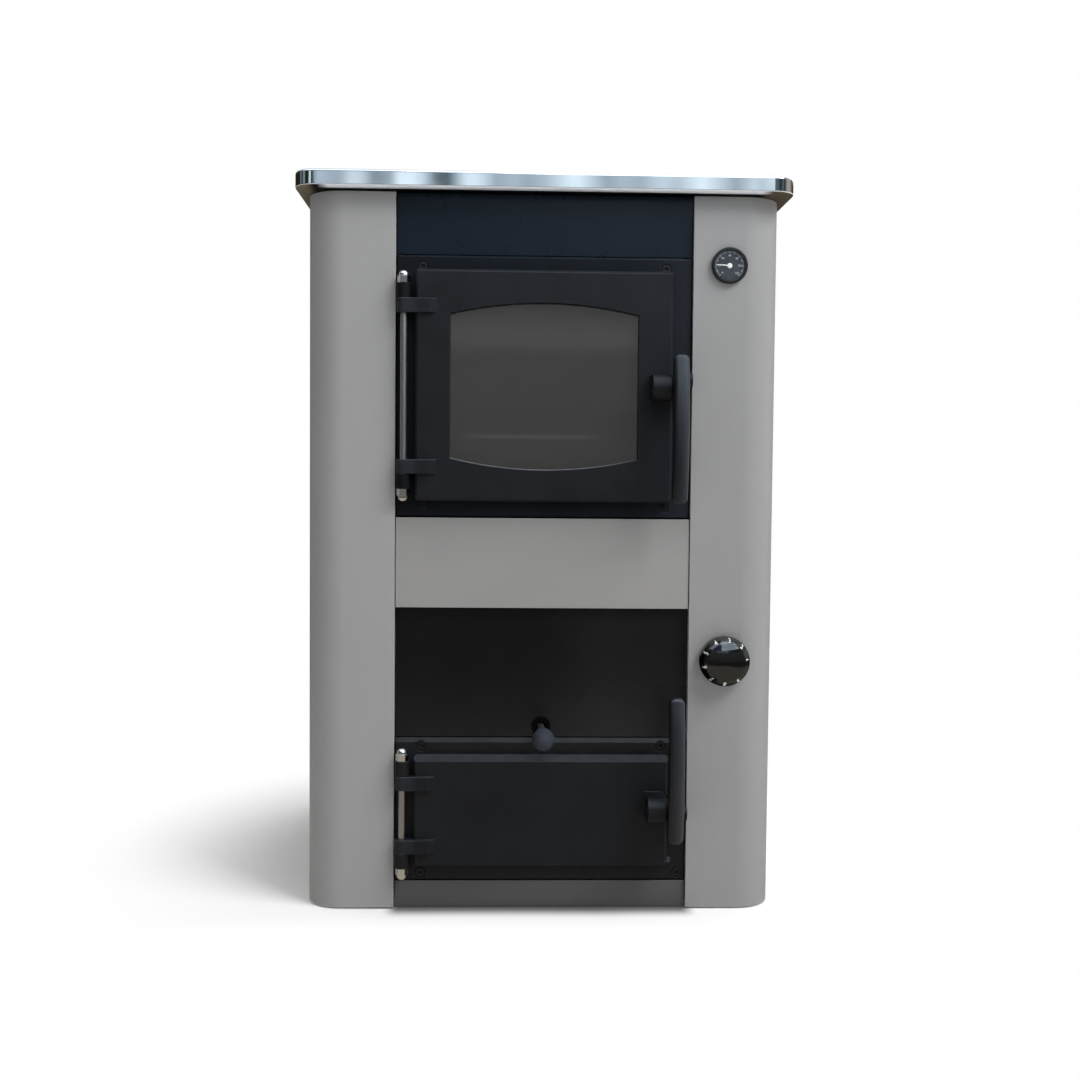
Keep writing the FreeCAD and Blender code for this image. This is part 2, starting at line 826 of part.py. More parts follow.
def hob_plate():
    """Cast plate with a stepped round hole for the lid."""
    body = new_body("hob_plate_body")
    outline = rectangle("-(hob_half - hob_fit)", "hob_half - hob_fit", "hob_front + hob_fit", "hob_rear - hob_fit")
    pad(body, "hob_plate_block", "XY", [outline], "ledge_top", "hob_top")
    pocket(body, "hob_plate_seat", "XY", [("0", "lid_y", "lid_radius + hob_fit")], "lid_low - fit_gap", "hob_top")
    pocket(body, "hob_plate_hole", "XY", [("0", "lid_y", "lid_radius - lid_ledge")], "ledge_top", "hob_top")
    node("hob_plate", body)


def hob_lid():
    """Round cooking lid with a slot for the lifter."""
    profile = [
        ("0", "0"), ("lid_radius", "0"), ("lid_radius", "lid_thickness - hob_fit"),
        ("lid_radius - hob_fit", "lid_thickness"), ("0", "lid_thickness"),
    ]
    body = revolve("hob_lid_body", "z", ("0", "lid_y", "lid_low"), profile)
    slot = rectangle("-(lid_slot_length / 2)", "lid_slot_length / 2", "lid_y - lid_radius / 2 - lid_slot_width",
                     "lid_y - lid_radius / 2")
    pocket(body, "hob_lid_slot", "XY", [slot], "hob_top - lid_slot_depth", "hob_top")
    node("hob_lid", body)


# Hearth, boiler and flue
def boiler_outer_shell():
    """Outer wall of the water jacket, closed to the firebox at top and bottom."""
    wall = "boiler_wall"
    body = box("boiler_block", ("-(boiler_half)", "boiler_half"), ("boiler_front", "boiler_rear"),
               ("boiler_low", "boiler_top"))
    water = box("boiler_water", (f"-(boiler_half - {wall})", f"boiler_half - {wall}"),
                (f"boiler_front + {wall}", f"boiler_rear - {wall}"), (f"boiler_low + {wall}", f"boiler_top - {wall}"))
    hearth = box("boiler_hearth_cut", ("-(fire_outer)", "fire_outer"), ("fire_start", "fire_end"),
                 ("boiler_low", "boiler_top"))
    throat = box("boiler_throat_cut", ("-(throat_half + fire_wall)", "throat_half + fire_wall"),
                 ("boiler_front", "fire_start"), ("fire_opening_low - fire_wall", "fire_opening_top + fire_wall"))
    flue = rod("boiler_flue_cut", "y", "flue_radius + flue_wall", "fire_end", "boiler_rear", "0", "flue_height")
    holes = [flue]
    for name, x, z, bore in pipe_places():
        holes.append(rod(name + "_boiler_hole", "y", bore, f"boiler_rear - 2 * {wall}", "boiler_rear", x, z))
    shell = cut("boiler_shell_cut", body, [water, hearth, throat, *holes])
    node("boiler_outer_shell", shell)


def pipe_places():
    """Name, sideways place, height and bore of each connection at the boiler's back."""
    return [
        ("flow", "pipe_x", "flow_height", "pipe_bore"),
        ("return", "-(pipe_x)", "return_height", "pipe_bore"),
        ("drain", "drain_x", "drain_height", "drain_bore"),
        ("sensor", "-(pipe_x)", "flow_height", "sensor_bore"),
    ]


def firebox_shell():
    """Inner walls of the fire chamber with the throat behind the door, the flue duct and the baffle rails."""
    block = box("firebox_block", ("-(fire_outer)", "fire_outer"), ("fire_start", "fire_end"),
                ("fire_low", "boiler_top"))
    throat = box("throat_block", ("-(throat_half + fire_wall)", "throat_half + fire_wall"),
                 ("frame_back", "fire_start"), ("fire_opening_low - fire_wall", "fire_opening_top + fire_wall"))
    duct = rod("flue_duct", "y", "flue_radius + flue_wall", "fire_end", "boiler_rear", "0", "flue_height")
    outer = fuse("firebox_outer", [block, throat, duct])
    chamber = box("firebox_chamber", ("-(fire_half_width)", "fire_half_width"),
                  ("fire_start + fire_wall", "fire_end - fire_wall"), ("fire_low", "boiler_top"))
    mouth = box("throat_mouth", ("-(throat_half)", "throat_half"), ("frame_back", "fire_start + fire_wall"),
                ("fire_opening_low", "fire_opening_top"))
    bore = rod("flue_bore", "y", "flue_radius", "fire_end - fire_wall", "boiler_rear", "0", "flue_height")
    hollow = cut("firebox_hollow", outer, [chamber, mouth, bore])
    rails = [hollow]
    for index, (left, right) in enumerate((("-(fire_half_width)", "-(fire_half_width - baffle_rail)"),
                                           ("fire_half_width - baffle_rail", "fire_half_width"))):
        rails.append(box(f"baffle_rail_{index}", (left, right),
                         ("fire_end - fire_wall - baffle_depth", "fire_end - fire_wall"),
                         ("baffle_low - fire_wall", "baffle_low")))
    node("firebox_shell", fuse("firebox_fused", rails))


def baffle_plate():
    """Cast plate under the flue outlet that turns the gases forward, with a raised front lip."""
    front = "fire_end - fire_wall - baffle_depth"
    section = [
        (front, "baffle_low"), ("fire_end - fire_wall", "baffle_low"),
        ("fire_end - fire_wall", "baffle_low + baffle_thickness"),
        (f"{front} + 2 * baffle_thickness", "baffle_low + baffle_thickness"),
        (f"{front} + baffle_thickness", "baffle_low + 2 * baffle_thickness"),
        (front, "baffle_low + 2 * baffle_thickness"),
    ]
    body = new_body("baffle_plate_body")
    pad(body, "baffle_plate_section", "YZ", [section], "-(fire_half_width - side_gap)", "fire_half_width - side_gap")
    node("baffle_plate", body)


GUARD_SLOT_SHARES = (-0.6, -0.2, 0.2, 0.6)


def log_guard():
    """Bar plate across the chamber below the throat, with slots, that keeps the fuel off the door."""
    body = new_body("log_guard_body")
    start = "fire_start + fire_wall"
    half = "throat_half - side_overlap"
    outline = rounded(f"-({half})", half, "guard_low", "guard_low + guard_height", "frame_corner")
    pad(body, "log_guard_plate", "XZ", [outline], start, f"{start} + guard_thickness")
    slots = []
    for share in GUARD_SLOT_SHARES:
        middle = f"{share} * ({half})"
        slots.append(rectangle(f"{middle} - guard_height / 3", f"{middle} + guard_height / 3",
                               "guard_low + guard_height / 3", "guard_low + 2 * guard_height / 3"))
    pocket(body, "log_guard_slots", "XZ", slots, start, f"{start} + guard_thickness")
    node("log_guard", body)


def flue_spigot():
    """Cast collar on the boiler's back for the flue pipe."""
    profile = [
        ("flue_radius - flue_wall", "0"), ("flue_radius + flue_flange", "0"),
        ("flue_radius + flue_flange", "flue_flange_thickness"),
        ("flue_radius + flue_wall", "flue_flange_thickness"),
        ("flue_radius", "flue_flange_thickness + flue_wall"),
        ("flue_radius", "spigot_end - boiler_rear"),
        ("flue_radius - flue_wall", "spigot_end - boiler_rear"),
    ]
    node("flue_spigot", revolve("flue_spigot_body", "y", ("0", "boiler_rear", "flue_height"), profile))


def pipe_stub(label, x, z, radius, bore, reach):
    """Threaded socket with a weld collar on the boiler's back."""
    end = f"rear_space + {reach}"
    profile = [
        (bore, "0"), (f"{radius} + pipe_collar", "0"), (f"{radius} + pipe_collar", "pipe_collar_length / 2"),
        (radius, "pipe_collar_length"), (radius, end), (bore, end),
    ]
    node(label, revolve(label + "_body", "y", (x, "boiler_rear", z), profile))


def grate_frame():
    """Cast frame round the grate with a ledge that the shaking grate slides on."""
    body = new_body("grate_frame_body")
    start = "fire_start + fire_wall + side_gap"
    end = "fire_end - fire_wall - side_gap"
    outline = rectangle("-(grate_half_width)", "grate_half_width", start, end)
    pad(body, "grate_frame_block", "XY", [outline], "boiler_low", "grate_top")
    seat = rectangle("-(grate_recess)", "grate_recess", "grate_start", "grate_end")
    pocket(body, "grate_frame_seat", "XY", [seat], "grate_shelf", "grate_top")
    through = rectangle("-(grate_opening)", "grate_opening", "grate_start + grate_ledge", "grate_end - grate_ledge")
    pocket(body, "grate_frame_opening", "XY", [through], "boiler_low", "grate_top")
    node("grate_frame", body)


def shaking_grate():
    """Slotted cast grate with a lug below for the shaker rod."""
    body = new_body("shaking_grate_body")
    half = "grate_recess - side_gap"
    low = "grate_shelf + fit_gap"
    rear = "grate_end - side_gap"
    front = "grate_end - side_gap - shaking_length"
    pad(body, "shaking_grate_plate", "XY", [rectangle(f"-({half})", half, front, rear)], low, "grate_top")
    pitch = "grate_slot_pitch"
    first = f"-((grate_slots - 1) / 2 * {pitch})"
    slots = [
        rounded(f"{first} - grate_slot_width / 2", f"{first} + grate_slot_width / 2", low_y, high_y,
                "grate_slot_width / 4")
        for low_y, high_y in ((f"{front} + {pitch}", f"grate_middle - {pitch}"),
                              (f"grate_middle + {pitch}", f"{rear} - {pitch}"))
    ]
    cuts = pocket(body, "shaking_grate_slots", "XY", slots, low, "grate_top")
    repeat_along_x(body, "shaking_grate_slot_row", cuts, "grate_slots", f"(grate_slots - 1) * {pitch}")
    lug = rectangle("-(shaker_lug)", "shaker_lug", "grate_middle - shaker_lug", "grate_middle + shaker_lug")
    pad(body, "shaking_grate_lug", "XY", [lug], "shaker_height - shaker_rod_radius", low)
    node("shaking_grate", body)


# Each row: share of the knob's radius, share of its length, and the arc to the next row in knob radii.
EGG_SHARES = [(0, 0, 0.92), (0.8, 0.12, 2.2), (0.9, 0.54, 5)]
DOME_SHARES = [(0, 0, 2), (0.76, 0.32, 0.7)]


def crowned(radius, start, length, shares):
    """The bulging front of a turned knob, from its middle outward."""
    return [
        (f"{radius} * {out}" if out else "0", f"{start} + {length} * {along}" if along else start,
         f"{radius} * {arc}", -1)
        for out, along, arc in shares
    ]


def shaker():
    """Pull rod of the shaking grate, its egg-shaped knob and the collar in the cover."""
    thread = "shaker_knob_length / 2"
    profile = [
        ("0", "shaker_front + shaker_knob_length - " + thread),
        ("shaker_rod_radius", "shaker_front + shaker_knob_length - " + thread),
        ("shaker_rod_radius", "grate_middle - shaker_lug"), ("0", "grate_middle - shaker_lug"),
    ]
    node("shaker_rod", revolve("shaker_rod_body", "y", ("0", "0", "shaker_height"), profile))
    length = "shaker_knob_length"
    egg = [
        *crowned("shaker_knob_radius", "0", length, EGG_SHARES), ("shaker_neck_radius", length),
        ("shaker_rod_radius", length), ("shaker_rod_radius", thread), ("0", thread),
    ]
    node("shaker_knob", revolve("shaker_knob_body", "y", ("0", "shaker_front", "shaker_height"), egg))
    ring = [
        ("shaker_hole_radius", "-(collar_thickness)"), ("collar_radius - sheet / 2", "-(collar_thickness)"),
        ("collar_radius", "-(collar_thickness) + sheet / 2"), ("collar_radius", "0"),
        ("shaker_hole_radius + sheet / 2", "0"), ("shaker_hole_radius + sheet / 2", "sheet"),
        ("shaker_hole_radius", "sheet"),
    ]
    node("shaker_collar", revolve("shaker_collar_body", "y", ("0", "front_face + lower_recess", "shaker_height"),
                                  ring))


# Ash box and ash pan
def ash_box():
    """Steel box under the grate, with the plate that the boiler stands on."""
    outer = box("ash_block", ("-(ash_half_width + ash_wall)", "ash_half_width + ash_wall"),
                ("frame_back", "ash_end"), ("base_top", "ash_plate_low"))
    hollow = box("ash_hollow", ("-(ash_half_width)", "ash_half_width"), ("frame_back", "ash_end - ash_wall"),
                 ("ash_floor_top", "ash_plate_low"))
    below = box("ash_floor_hollow", ("-(ash_half_width)", "ash_half_width"), ("frame_back", "ash_end - ash_wall"),
                ("base_top", "ash_floor_top - ash_wall"))
    inlet = box("ash_inlet_cut", ("-(inlet_half_width - inlet_wall)", "inlet_half_width - inlet_wall"),
                ("ash_end - ash_wall", "ash_end"), ("inlet_low + inlet_wall", "inlet_top - inlet_wall"))
    box_part = cut("ash_box_part", outer, [hollow, below, inlet])
    plate = box("ash_plate_block", ("-(boiler_half)", "boiler_half"), ("boiler_front", "boiler_rear"),
                ("ash_plate_low", "boiler_low"))
    fall = box("ash_fall", ("-(grate_opening)", "grate_opening"),
               ("grate_start + grate_ledge", "grate_end - grate_ledge"), ("ash_plate_low", "boiler_low"))
    plate_part = cut("ash_plate_part", plate, [fall])
    strip = box("ash_strip", ("-(ash_half_width)", "ash_half_width"), ("boiler_front", "boiler_front + ash_wall"),
                ("ash_frame_top", "ash_plate_low"))
    hole = rod("ash_strip_hole", "y", "shaker_hole_radius", "boiler_front", "boiler_front + ash_wall", "0",
               "shaker_height")
    strip_part = cut("ash_strip_part", strip, [hole])
    node("ash_box", fuse("ash_box_fused", [box_part, plate_part, strip_part]))


def ash_runners():
    """Two strips on the ash box floor that carry the pan."""
    bars = []
    for side in (-1, 1):
        inner = f"{side} * (pan_half_width - runner_width)"
        outer = f"{side} * pan_half_width"
        low, high = (outer, inner) if side < 0 else (inner, outer)
        bars.append(box(f"runner_{side + 1}", (low, high), ("pan_start", "ash_end - ash_wall"),
                        ("ash_floor_top", "ash_floor_top + runner_height")))
    node("ash_runners", group("runner_group", bars))


def ash_pan():
    """Folded tray with a rolled top edge and a loop grip at the front."""
    wall = "pan_wall"
    body = new_body("ash_pan_body")
    outer = rounded("-(pan_half_width)", "pan_half_width", "pan_start", "pan_end", "frame_corner")
    pad(body, "ash_pan_block", "XY", [outer], "pan_low", "pan_top")
    inner = rounded(f"-(pan_half_width - {wall})", f"pan_half_width - {wall}", f"pan_start + {wall}",
                    f"pan_end - {wall}", f"(frame_corner - {wall})")
    pocket(body, "ash_pan_hollow", "XY", [inner], f"pan_low + {wall}", "pan_top")
    middle = "(pan_low + pan_top) / 2"
    half = "pan_grip_width / 2"
    loop = [
        (f"-({half})", "pan_start"), (f"-({half})", "pan_start - pan_grip_reach"),
        (half, "pan_start - pan_grip_reach"), (half, "pan_start"),
        (f"{half} - 2 * {wall}", "pan_start"), (f"{half} - 2 * {wall}", f"pan_start - pan_grip_reach + 2 * {wall}"),
        (f"-({half} - 2 * {wall})", f"pan_start - pan_grip_reach + 2 * {wall}"),
        (f"-({half} - 2 * {wall})", "pan_start"),
    ]
    pad(body, "ash_pan_grip", "XY", [loop], f"{middle} - pan_grip_height / 2", f"{middle} + pan_grip_height / 2")
    node("ash_pan", body)


# Door frames
def door_frame(label, low, high, opening_low, opening_top, lugs, screws, bevel=None):
    """Cast frame plate with an opening, hinge lugs and sunk screw holes."""
    body = new_body(label + "_body")
    plate = rectangle("-(half_panel)", "half_panel", low, high)
    pad(body, label + "_plate", "XZ", [plate], "door_plane", "frame_back")
    soften(body, label + "_edges", "Chamfer", "frame_edge", is_outer_front("door_plane", "half_panel"))
    if bevel:
        top_bevel(body, label, high, "door_plane", bevel, "half_panel")
    opening = rounded("-(throat_half)", "throat_half", opening_low, opening_top, "frame_corner")
    pocket(body, label + "_opening", "XZ", [opening], "door_plane", "frame_back")
    for index, lug_low in enumerate(lugs):
        block = [
            ("hinge_x - lug_block", "hinge_y"), ("hinge_x + lug_block", "hinge_y"),
            ("hinge_x + lug_block", "frame_back - frame_edge"), ("hinge_x - lug_block", "frame_back - frame_edge"),
        ]
        top = f"{lug_low} + frame_lug_height"
        pad(body, f"{label}_lug_{index}", "XY", [block], lug_low, top)
        pad(body, f"{label}_knuckle_{index}", "XY", [("hinge_x", "hinge_y", "knuckle_radius")], lug_low, top)
        pocket(body, f"{label}_bore_{index}", "XY", [("hinge_x", "hinge_y", "hinge_pin_radius + hinge_clearance / 3")],
               lug_low, top)
    heads = [(x, z, "screw_head + screw_gap") for x, z in screws]
    shanks = [(x, z, "screw_shank + hinge_clearance / 3") for x, z in screws]
    pocket(body, label + "_screw_seats", "XZ", heads, "door_plane", "door_plane + screw_head_height")
    pocket(body, label + "_screw_holes", "XZ", shanks, "door_plane + screw_head_height", "frame_back")
    node(label, body)


def frame_screws(label, screws):
    """Sunk screws with a round socket, flush with the frame."""
    pieces = []
    for index, (x, z) in enumerate(screws):
        profile = [
            ("0", "screw_socket_depth"), ("screw_socket", "screw_socket_depth"),
            ("screw_socket", "0"), ("screw_head", "0"), ("screw_head", "screw_head_height"),
            ("screw_shank", "screw_head_height"), ("screw_shank", "frame_thickness"), ("0", "frame_thickness"),
        ]
        pieces.append(revolve(f"{label}_{index}", "y", (x, "door_plane", z), profile))
    node(label, group(label + "_group", pieces))


def fire_screws():
    """Places of the fire frame's four screws."""
    low = "middle_top + panel_gap / 2 + screw_inset"
    high = "fire_frame_top - panel_gap / 2 - screw_inset"
    return [("-(screw_x)", low), ("screw_x", low), ("-(screw_x)", high), ("screw_x", high)]


def ash_screws():
    """Places of the ash frame's four screws."""
    low = "plinth_top + panel_gap / 2 + screw_corner_inset"
    high = "ash_frame_top - panel_gap / 2 - screw_corner_inset"
    return [("-(screw_x)", low), ("half_panel - screw_corner_inset", low), ("-(screw_x)", high), ("screw_x", high)]


def hinge_pin(prefix, low, high):
    """Steel rod through all four hinge lugs."""
    pin = rod(prefix + "_pin_rod", "z", "hinge_pin_radius", low, high, "hinge_x", "hinge_y")
    node(prefix + "_hinge_pin", pin)


def hinge_nuts(prefix, low, high):
    """Domed nuts on both ends of a hinge pin."""
    nuts = []
    for index, (place, way) in enumerate(((low, -1), (high, 1))):
        nut = new_body(f"{prefix}_nut_{index}")
        corner = "nut_half_flats / cos(30)"
        hexagon = [(f"hinge_x + {corner} * cos({60 * turn})", f"hinge_y + {corner} * sin({60 * turn})")
                   for turn in range(6)]
        first, last = (place, f"{place} + nut_hex_height") if way > 0 else (f"{place} - nut_hex_height", place)
        pad(nut, f"{prefix}_nut_hex_{index}", "XY", [hexagon], first, last)
        dome = [
            ("0", f"{way} * nut_hex_height"), ("nut_dome_radius", f"{way} * nut_hex_height"),
            ("nut_dome_radius", f"{way} * (nut_hex_height + nut_dome_rise)", "nut_dome_radius", -way),
            ("0", f"{way} * (nut_hex_height + nut_dome_rise + nut_dome_radius)"),
        ]
        sketch = add_sketch(nut, f"{prefix}_nut_dome_outline_{index}", "XZ", [dome],
                            ("hinge_x", place, "-(hinge_y)"))
        turned = nut.newObject("PartDesign::Revolution", f"{prefix}_nut_dome_{index}")
        turned.Profile = sketch
        turned.ReferenceAxis = (sketch, ["V_Axis"])
        turned.Angle = 360
        document.recompute()
        nuts.append(nut)
    node(prefix + "_hinge_nuts", group(prefix + "_nut_group", nuts))


# Doors
def door_body(label, low, high, bevel, hinge_lows):
    """Cast door plate with bevelled front edges, hinge arms, a seal groove and a handle boss."""
    body = new_body(label + "_body")
    outline = rounded("-(half_door)", "half_door", low, high, "door_corner")
    pad(body, label + "_plate", "XZ", [outline], "door_front", "door_back")
    front = number("door_front")

    def rim(edge):
        return edge.BoundBox.YLength < EDGE_NEAR and abs(edge.BoundBox.YMin - front) < EDGE_NEAR
    soften(body, label + "_bevel", "Chamfer", "door_bevel", rim)
    if bevel != "door_bevel":
        top_bevel(body, label, high, "door_front", bevel, "half_door")
    for index, lug_low in enumerate(hinge_lows):
        arm = [
            ("hinge_x", "hinge_y - knuckle_radius"),
            ("hinge_x + door_lug_reach - door_lug_slope", "hinge_y - knuckle_radius"),
            ("hinge_x + door_lug_reach", "door_front + fit_gap"),
            ("hinge_x + door_lug_reach", "door_front + door_bevel"),
            ("-(half_door) + door_bevel", "door_back - door_gap"),
            ("hinge_x", "hinge_y + knuckle_radius", "knuckle_radius", -1),
        ]
        top = f"{lug_low} + door_lug_height"
        pad(body, f"{label}_arm_{index}", "XY", [arm], lug_low, top)
        bore = ("hinge_x", "hinge_y", "hinge_pin_radius + hinge_clearance")
        pocket(body, f"{label}_arm_bore_{index}", "XY", [bore], lug_low, top)
    groove = [
        rectangle("-(seal_outer + fit_gap)", "seal_outer + fit_gap", f"{low} + seal_inset - fit_gap",
                  f"{high} - seal_inset + fit_gap"),
        rectangle("-(seal_inner - fit_gap)", "seal_inner - fit_gap", f"{low} + seal_inset + seal_width + fit_gap",
                  f"{high} - seal_inset - seal_width - fit_gap"),
    ]
    pocket(body, label + "_groove", "XZ", groove, "door_back - seal_depth", "door_back")
    return body


def top_bevel(body, label, top, front, size, half):
    """A wide bevel along the top front edge of a plate."""
    wedge = [(front, f"{top} - {size}"), (f"{front} + {size}", top), (front, top)]
    pocket(body, label + "_top_bevel", "YZ", [wedge], f"-({half})", half)


def handle_boss(body, label, pivot):
    """Round-nosed boss on the door face, bored for the lever's pivot."""
    section = [
        ("door_front + fit_gap", f"{pivot} - boss_radius"), ("door_front + fit_gap", f"{pivot} + boss_radius"),
        ("pivot_y", f"{pivot} + boss_radius", "boss_radius", -1), ("pivot_y", f"{pivot} - boss_radius"),
    ]
    pad(body, label + "_boss", "YZ", [section], "boss_left", "boss_right")
    pocket(body, label + "_boss_bore", "YZ", [("pivot_y", pivot, "pivot_radius + hinge_clearance / 3")],
           "boss_left", "boss_right")


def window_outline():
    """Window with straight sides and gently arched top and bottom."""
    return [
        ("-(half_window)", "window_low", "window_radius", -1), ("half_window", "window_low"),
        ("half_window", "window_top", "window_radius", -1), ("-(half_window)", "window_top"),
    ]


def fire_door():
    """Glazed fire door, its glass, glass clips and rope seal."""
    label = "fire_door_panel"
    low, high = "fire_door_low", "fire_door_top"
    lugs = ("(fire_hinge_low + frame_lug_height + fit_gap)",
            "(fire_hinge_high - frame_lug_height - fit_gap - door_lug_height)")
    body = door_body(label, low, high, "door_bevel", lugs)
    recess = rectangle("-(glass_half + glass_gap)", "glass_half + glass_gap", "glass_low - glass_gap",
                       "glass_top + glass_gap")
    pocket(body, "fire_door_glass_seat", "XZ", [recess], "glass_front", "door_back")
    pocket(body, "fire_door_window", "XZ", [window_outline()], "door_front", "glass_front")
    handle_boss(body, label, "fire_pivot_height")
    node(label, body)
    pane = box("glass_pane", ("-(glass_half)", "glass_half"), ("glass_front", "glass_back"), ("glass_low", "glass_top"))
    node("fire_door_glass", pane)
    clips = []
    for side in (-1, 1):
        for index, z in enumerate(("window_low", "window_top - clip_width")):
            near = f"{side} * (glass_half + clip_length / 2)"
            far = f"{side} * (glass_half - clip_length / 2)"
            across = (near, far) if side < 0 else (far, near)
            clips.append(box(f"clip_{side + 1}_{index}", across, ("door_back", "door_back + clip_thickness"),
                             (z, f"{z} + clip_width")))
    node("glass_clips", group("clip_group", clips))
    seal("fire_door_seal", low, high)


def seal(label, low, high):
    """Rope seal in the door's groove."""
    rope = new_body(label + "_body")
    loops = [
        rounded("-(seal_outer)", "seal_outer", f"{low} + seal_inset", f"{high} - seal_inset", "seal_width / 8"),
        rounded("-(seal_inner)", "seal_inner", f"{low} + seal_inset + seal_width",
                f"{high} - seal_inset - seal_width", "seal_width / 8"),
    ]
    pad(rope, label + "_rope", "XZ", loops, "door_back - seal_depth", "seal_back")
    node(label, rope)


def ash_door():
    """Plain cast ash door with a wide bevel, and its rope seal."""
    label = "ash_door_panel"
    low, high = "ash_door_low", "ash_door_top"
    lugs = ("(ash_hinge_low + frame_lug_height + fit_gap)",
            "(ash_hinge_high - frame_lug_height - fit_gap - door_lug_height)")
    body = door_body(label, low, high, "ash_door_bevel", lugs)
    handle_boss(body, label, "ash_pivot_height")
    node(label, body)
    seal("ash_door_seal", low, high)


def handle_pivot(label, pivot):
    """Headed pin from the boss through the lever's hub."""
    profile = [
        ("0", "boss_left + door_bevel"), ("pivot_radius", "boss_left + door_bevel"),
        ("pivot_radius", "lever_right + fit_gap"), ("pivot_head_radius", "lever_right + fit_gap"),
        ("pivot_head_radius", "lever_right + fit_gap + pivot_head"), ("0", "lever_right + fit_gap + pivot_head"),
    ]
    node(label, revolve(label + "_body", "x", ("0", "pivot_y", pivot), profile))


def lever(label, pivot, way):
    """Cast lever: bowed grip, hub on the pivot and a hooked nose that reaches back to the keeper."""
    def at(out, up):
        return (f"pivot_y - ({out})", f"{pivot} + {way} * ({up})")

    def turned(out, up):
        return at(f"({out}) * cos(latch_angle) - ({up}) * sin(latch_angle)",
                  f"({out}) * sin(latch_angle) + ({up}) * cos(latch_angle)")

    half_chord = "((lever_long + lever_short) / 2)"
    near = "lever_stand - lever_thickness / 2"
    far = "lever_stand + lever_thickness / 2"
    radius = f"({half_chord} * {half_chord} + lever_bow * lever_bow) / (2 * lever_bow)"
    body = new_body(label + "_body")
    grip = [
        (*at(far, "-(lever_long)"), radius, way), at(far, "lever_short"),
        (*at(near, "lever_short"), radius, -way), at(near, "-(lever_long)"),
    ]
    pad(body, label + "_grip", "YZ", [grip], "lever_left", "lever_right")
    ends = [lever_tip(f"({pivot} + {way} * lever_short)", way), lever_tip(f"({pivot} - {way} * lever_long)", -way)]
    pocket(body, label + "_tips", "XZ", ends, f"pivot_y - ({far} + lever_bow)", "pivot_y")

    def lengthwise(edge):
        bounds = edge.BoundBox
        return bounds.XLength < EDGE_NEAR and bounds.ZLength > number("lever_long")
    soften(body, label + "_round", "Fillet", "lever_edge", lengthwise)
    hub = ("pivot_y", pivot, "hub_radius")
    pad(body, label + "_hub", "YZ", [hub], "lever_left", "lever_right")
    web = [
        at("0", "-(hub_radius)"), at(f"{near} + lever_bow / 2", "-(hub_radius)"),
        at(f"{near} + lever_bow / 2", "hub_radius"), at("0", "hub_radius"),
    ]
    pad(body, label + "_web", "YZ", [web], "lever_left + lever_edge", "lever_right - lever_edge")
    nose = [
        turned("0", "-(nose_drop)"), turned("-(nose_tip)", "-(nose_drop)"), turned("-(nose_tip)", "nose_rise"),
        turned("-(nose_tip - nose_thickness)", "nose_rise"), turned("-(nose_tip - nose_thickness)", "neck_top"),
        turned("0", "neck_top"),
    ]
    pad(body, label + "_nose", "YZ", [nose], "nose_left", "lever_right")
    pocket(body, label + "_bore", "YZ", [("pivot_y", pivot, "pivot_radius + hinge_clearance")], "lever_left",
           "lever_right")
    node(label, body)


def lever_tip(end, way):
    """What comes off the square end of a grip to leave two rounded corners."""
    start = f"{end} - {way} * lever_round"
    past = f"{end} + {way} * lever_round"
    return [
        ("lever_left", start), ("lever_left", past), ("lever_right", past), ("lever_right", start, "lever_round", -way),
        ("lever_right - lever_round", end), ("lever_left + lever_round", end, "lever_round", -way),
    ]


def keeper(label, pivot, way):
    """Bracket on the frame with the pin that the lever's nose hooks behind."""
    centre = f"({pivot} + {way} * keeper_offset)"
    half = "keeper_half_height"
    pin_y = "(door_plane - keeper_pin_proud)"
    section = [
        ("door_plane", f"{centre} - {half}"), ("door_plane", f"{centre} + {half}"),
        (f"{pin_y}", f"{centre} + {half}", half, -1), (f"{pin_y}", f"{centre} - {half}"),
    ]
    body = new_body(label + "_body")
    pad(body, label + "_bracket", "YZ", [section], "keeper_left", "keeper_right")
    pad(body, label + "_pin", "YZ", [(pin_y, centre, "keeper_radius")], "keeper_pin_left", "keeper_left")
    node(label, body)


# Thermometer and regulator
def thermometer():
    """Round dial thermometer in the right column."""
    centre = ("gauge_x", "gauge_front", "gauge_height")
    seat = "gauge_proud"
    case = [
        ("gauge_radius - gauge_bezel", "0"), ("gauge_radius - gauge_bezel / 3", "0"),
        ("gauge_radius", "gauge_bezel / 3"), ("gauge_radius", seat), ("gauge_can_radius", seat),
        ("gauge_can_radius", "gauge_proud + return_depth"), ("0", "gauge_proud + return_depth"),
        ("0", "dial_depth + dial_thickness"), ("gauge_radius - gauge_bezel", "dial_depth + dial_thickness"),
    ]
    node("thermometer_case", revolve("gauge_case_body", "y", centre, case))
    inner = "gauge_radius - gauge_bezel"
    dial = [("0", "dial_depth"), (inner, "dial_depth"), (inner, "dial_depth + dial_thickness"),
            ("0", "dial_depth + dial_thickness")]
    node("thermometer_dial", revolve("gauge_dial_body", "y", centre, dial))
    lens = [("0", "0"), (inner, "0"), (inner, "lens_thickness"), ("0", "lens_thickness")]
    node("thermometer_glass", revolve("gauge_lens_body", "y", centre, lens))
    body = new_body("pointer_body")
    back = "dial_front - fit_gap"
    front = f"{back} - pointer_thickness"
    arm = [
        ("gauge_x + pointer_hub", "gauge_height - pointer_width / 2"),
        ("gauge_x + pointer_hub", "gauge_height + pointer_width / 2"),
        ("gauge_x - pointer_length", "gauge_height + pointer_width / 4"),
        ("gauge_x - pointer_length", "gauge_height - pointer_width / 4"),
    ]
    pad(body, "pointer_arm", "XZ", [arm], front, back)
    pad(body, "pointer_hub_disc", "XZ", [("gauge_x", "gauge_height", "pointer_hub")], front, back)
    node("thermometer_pointer", body)


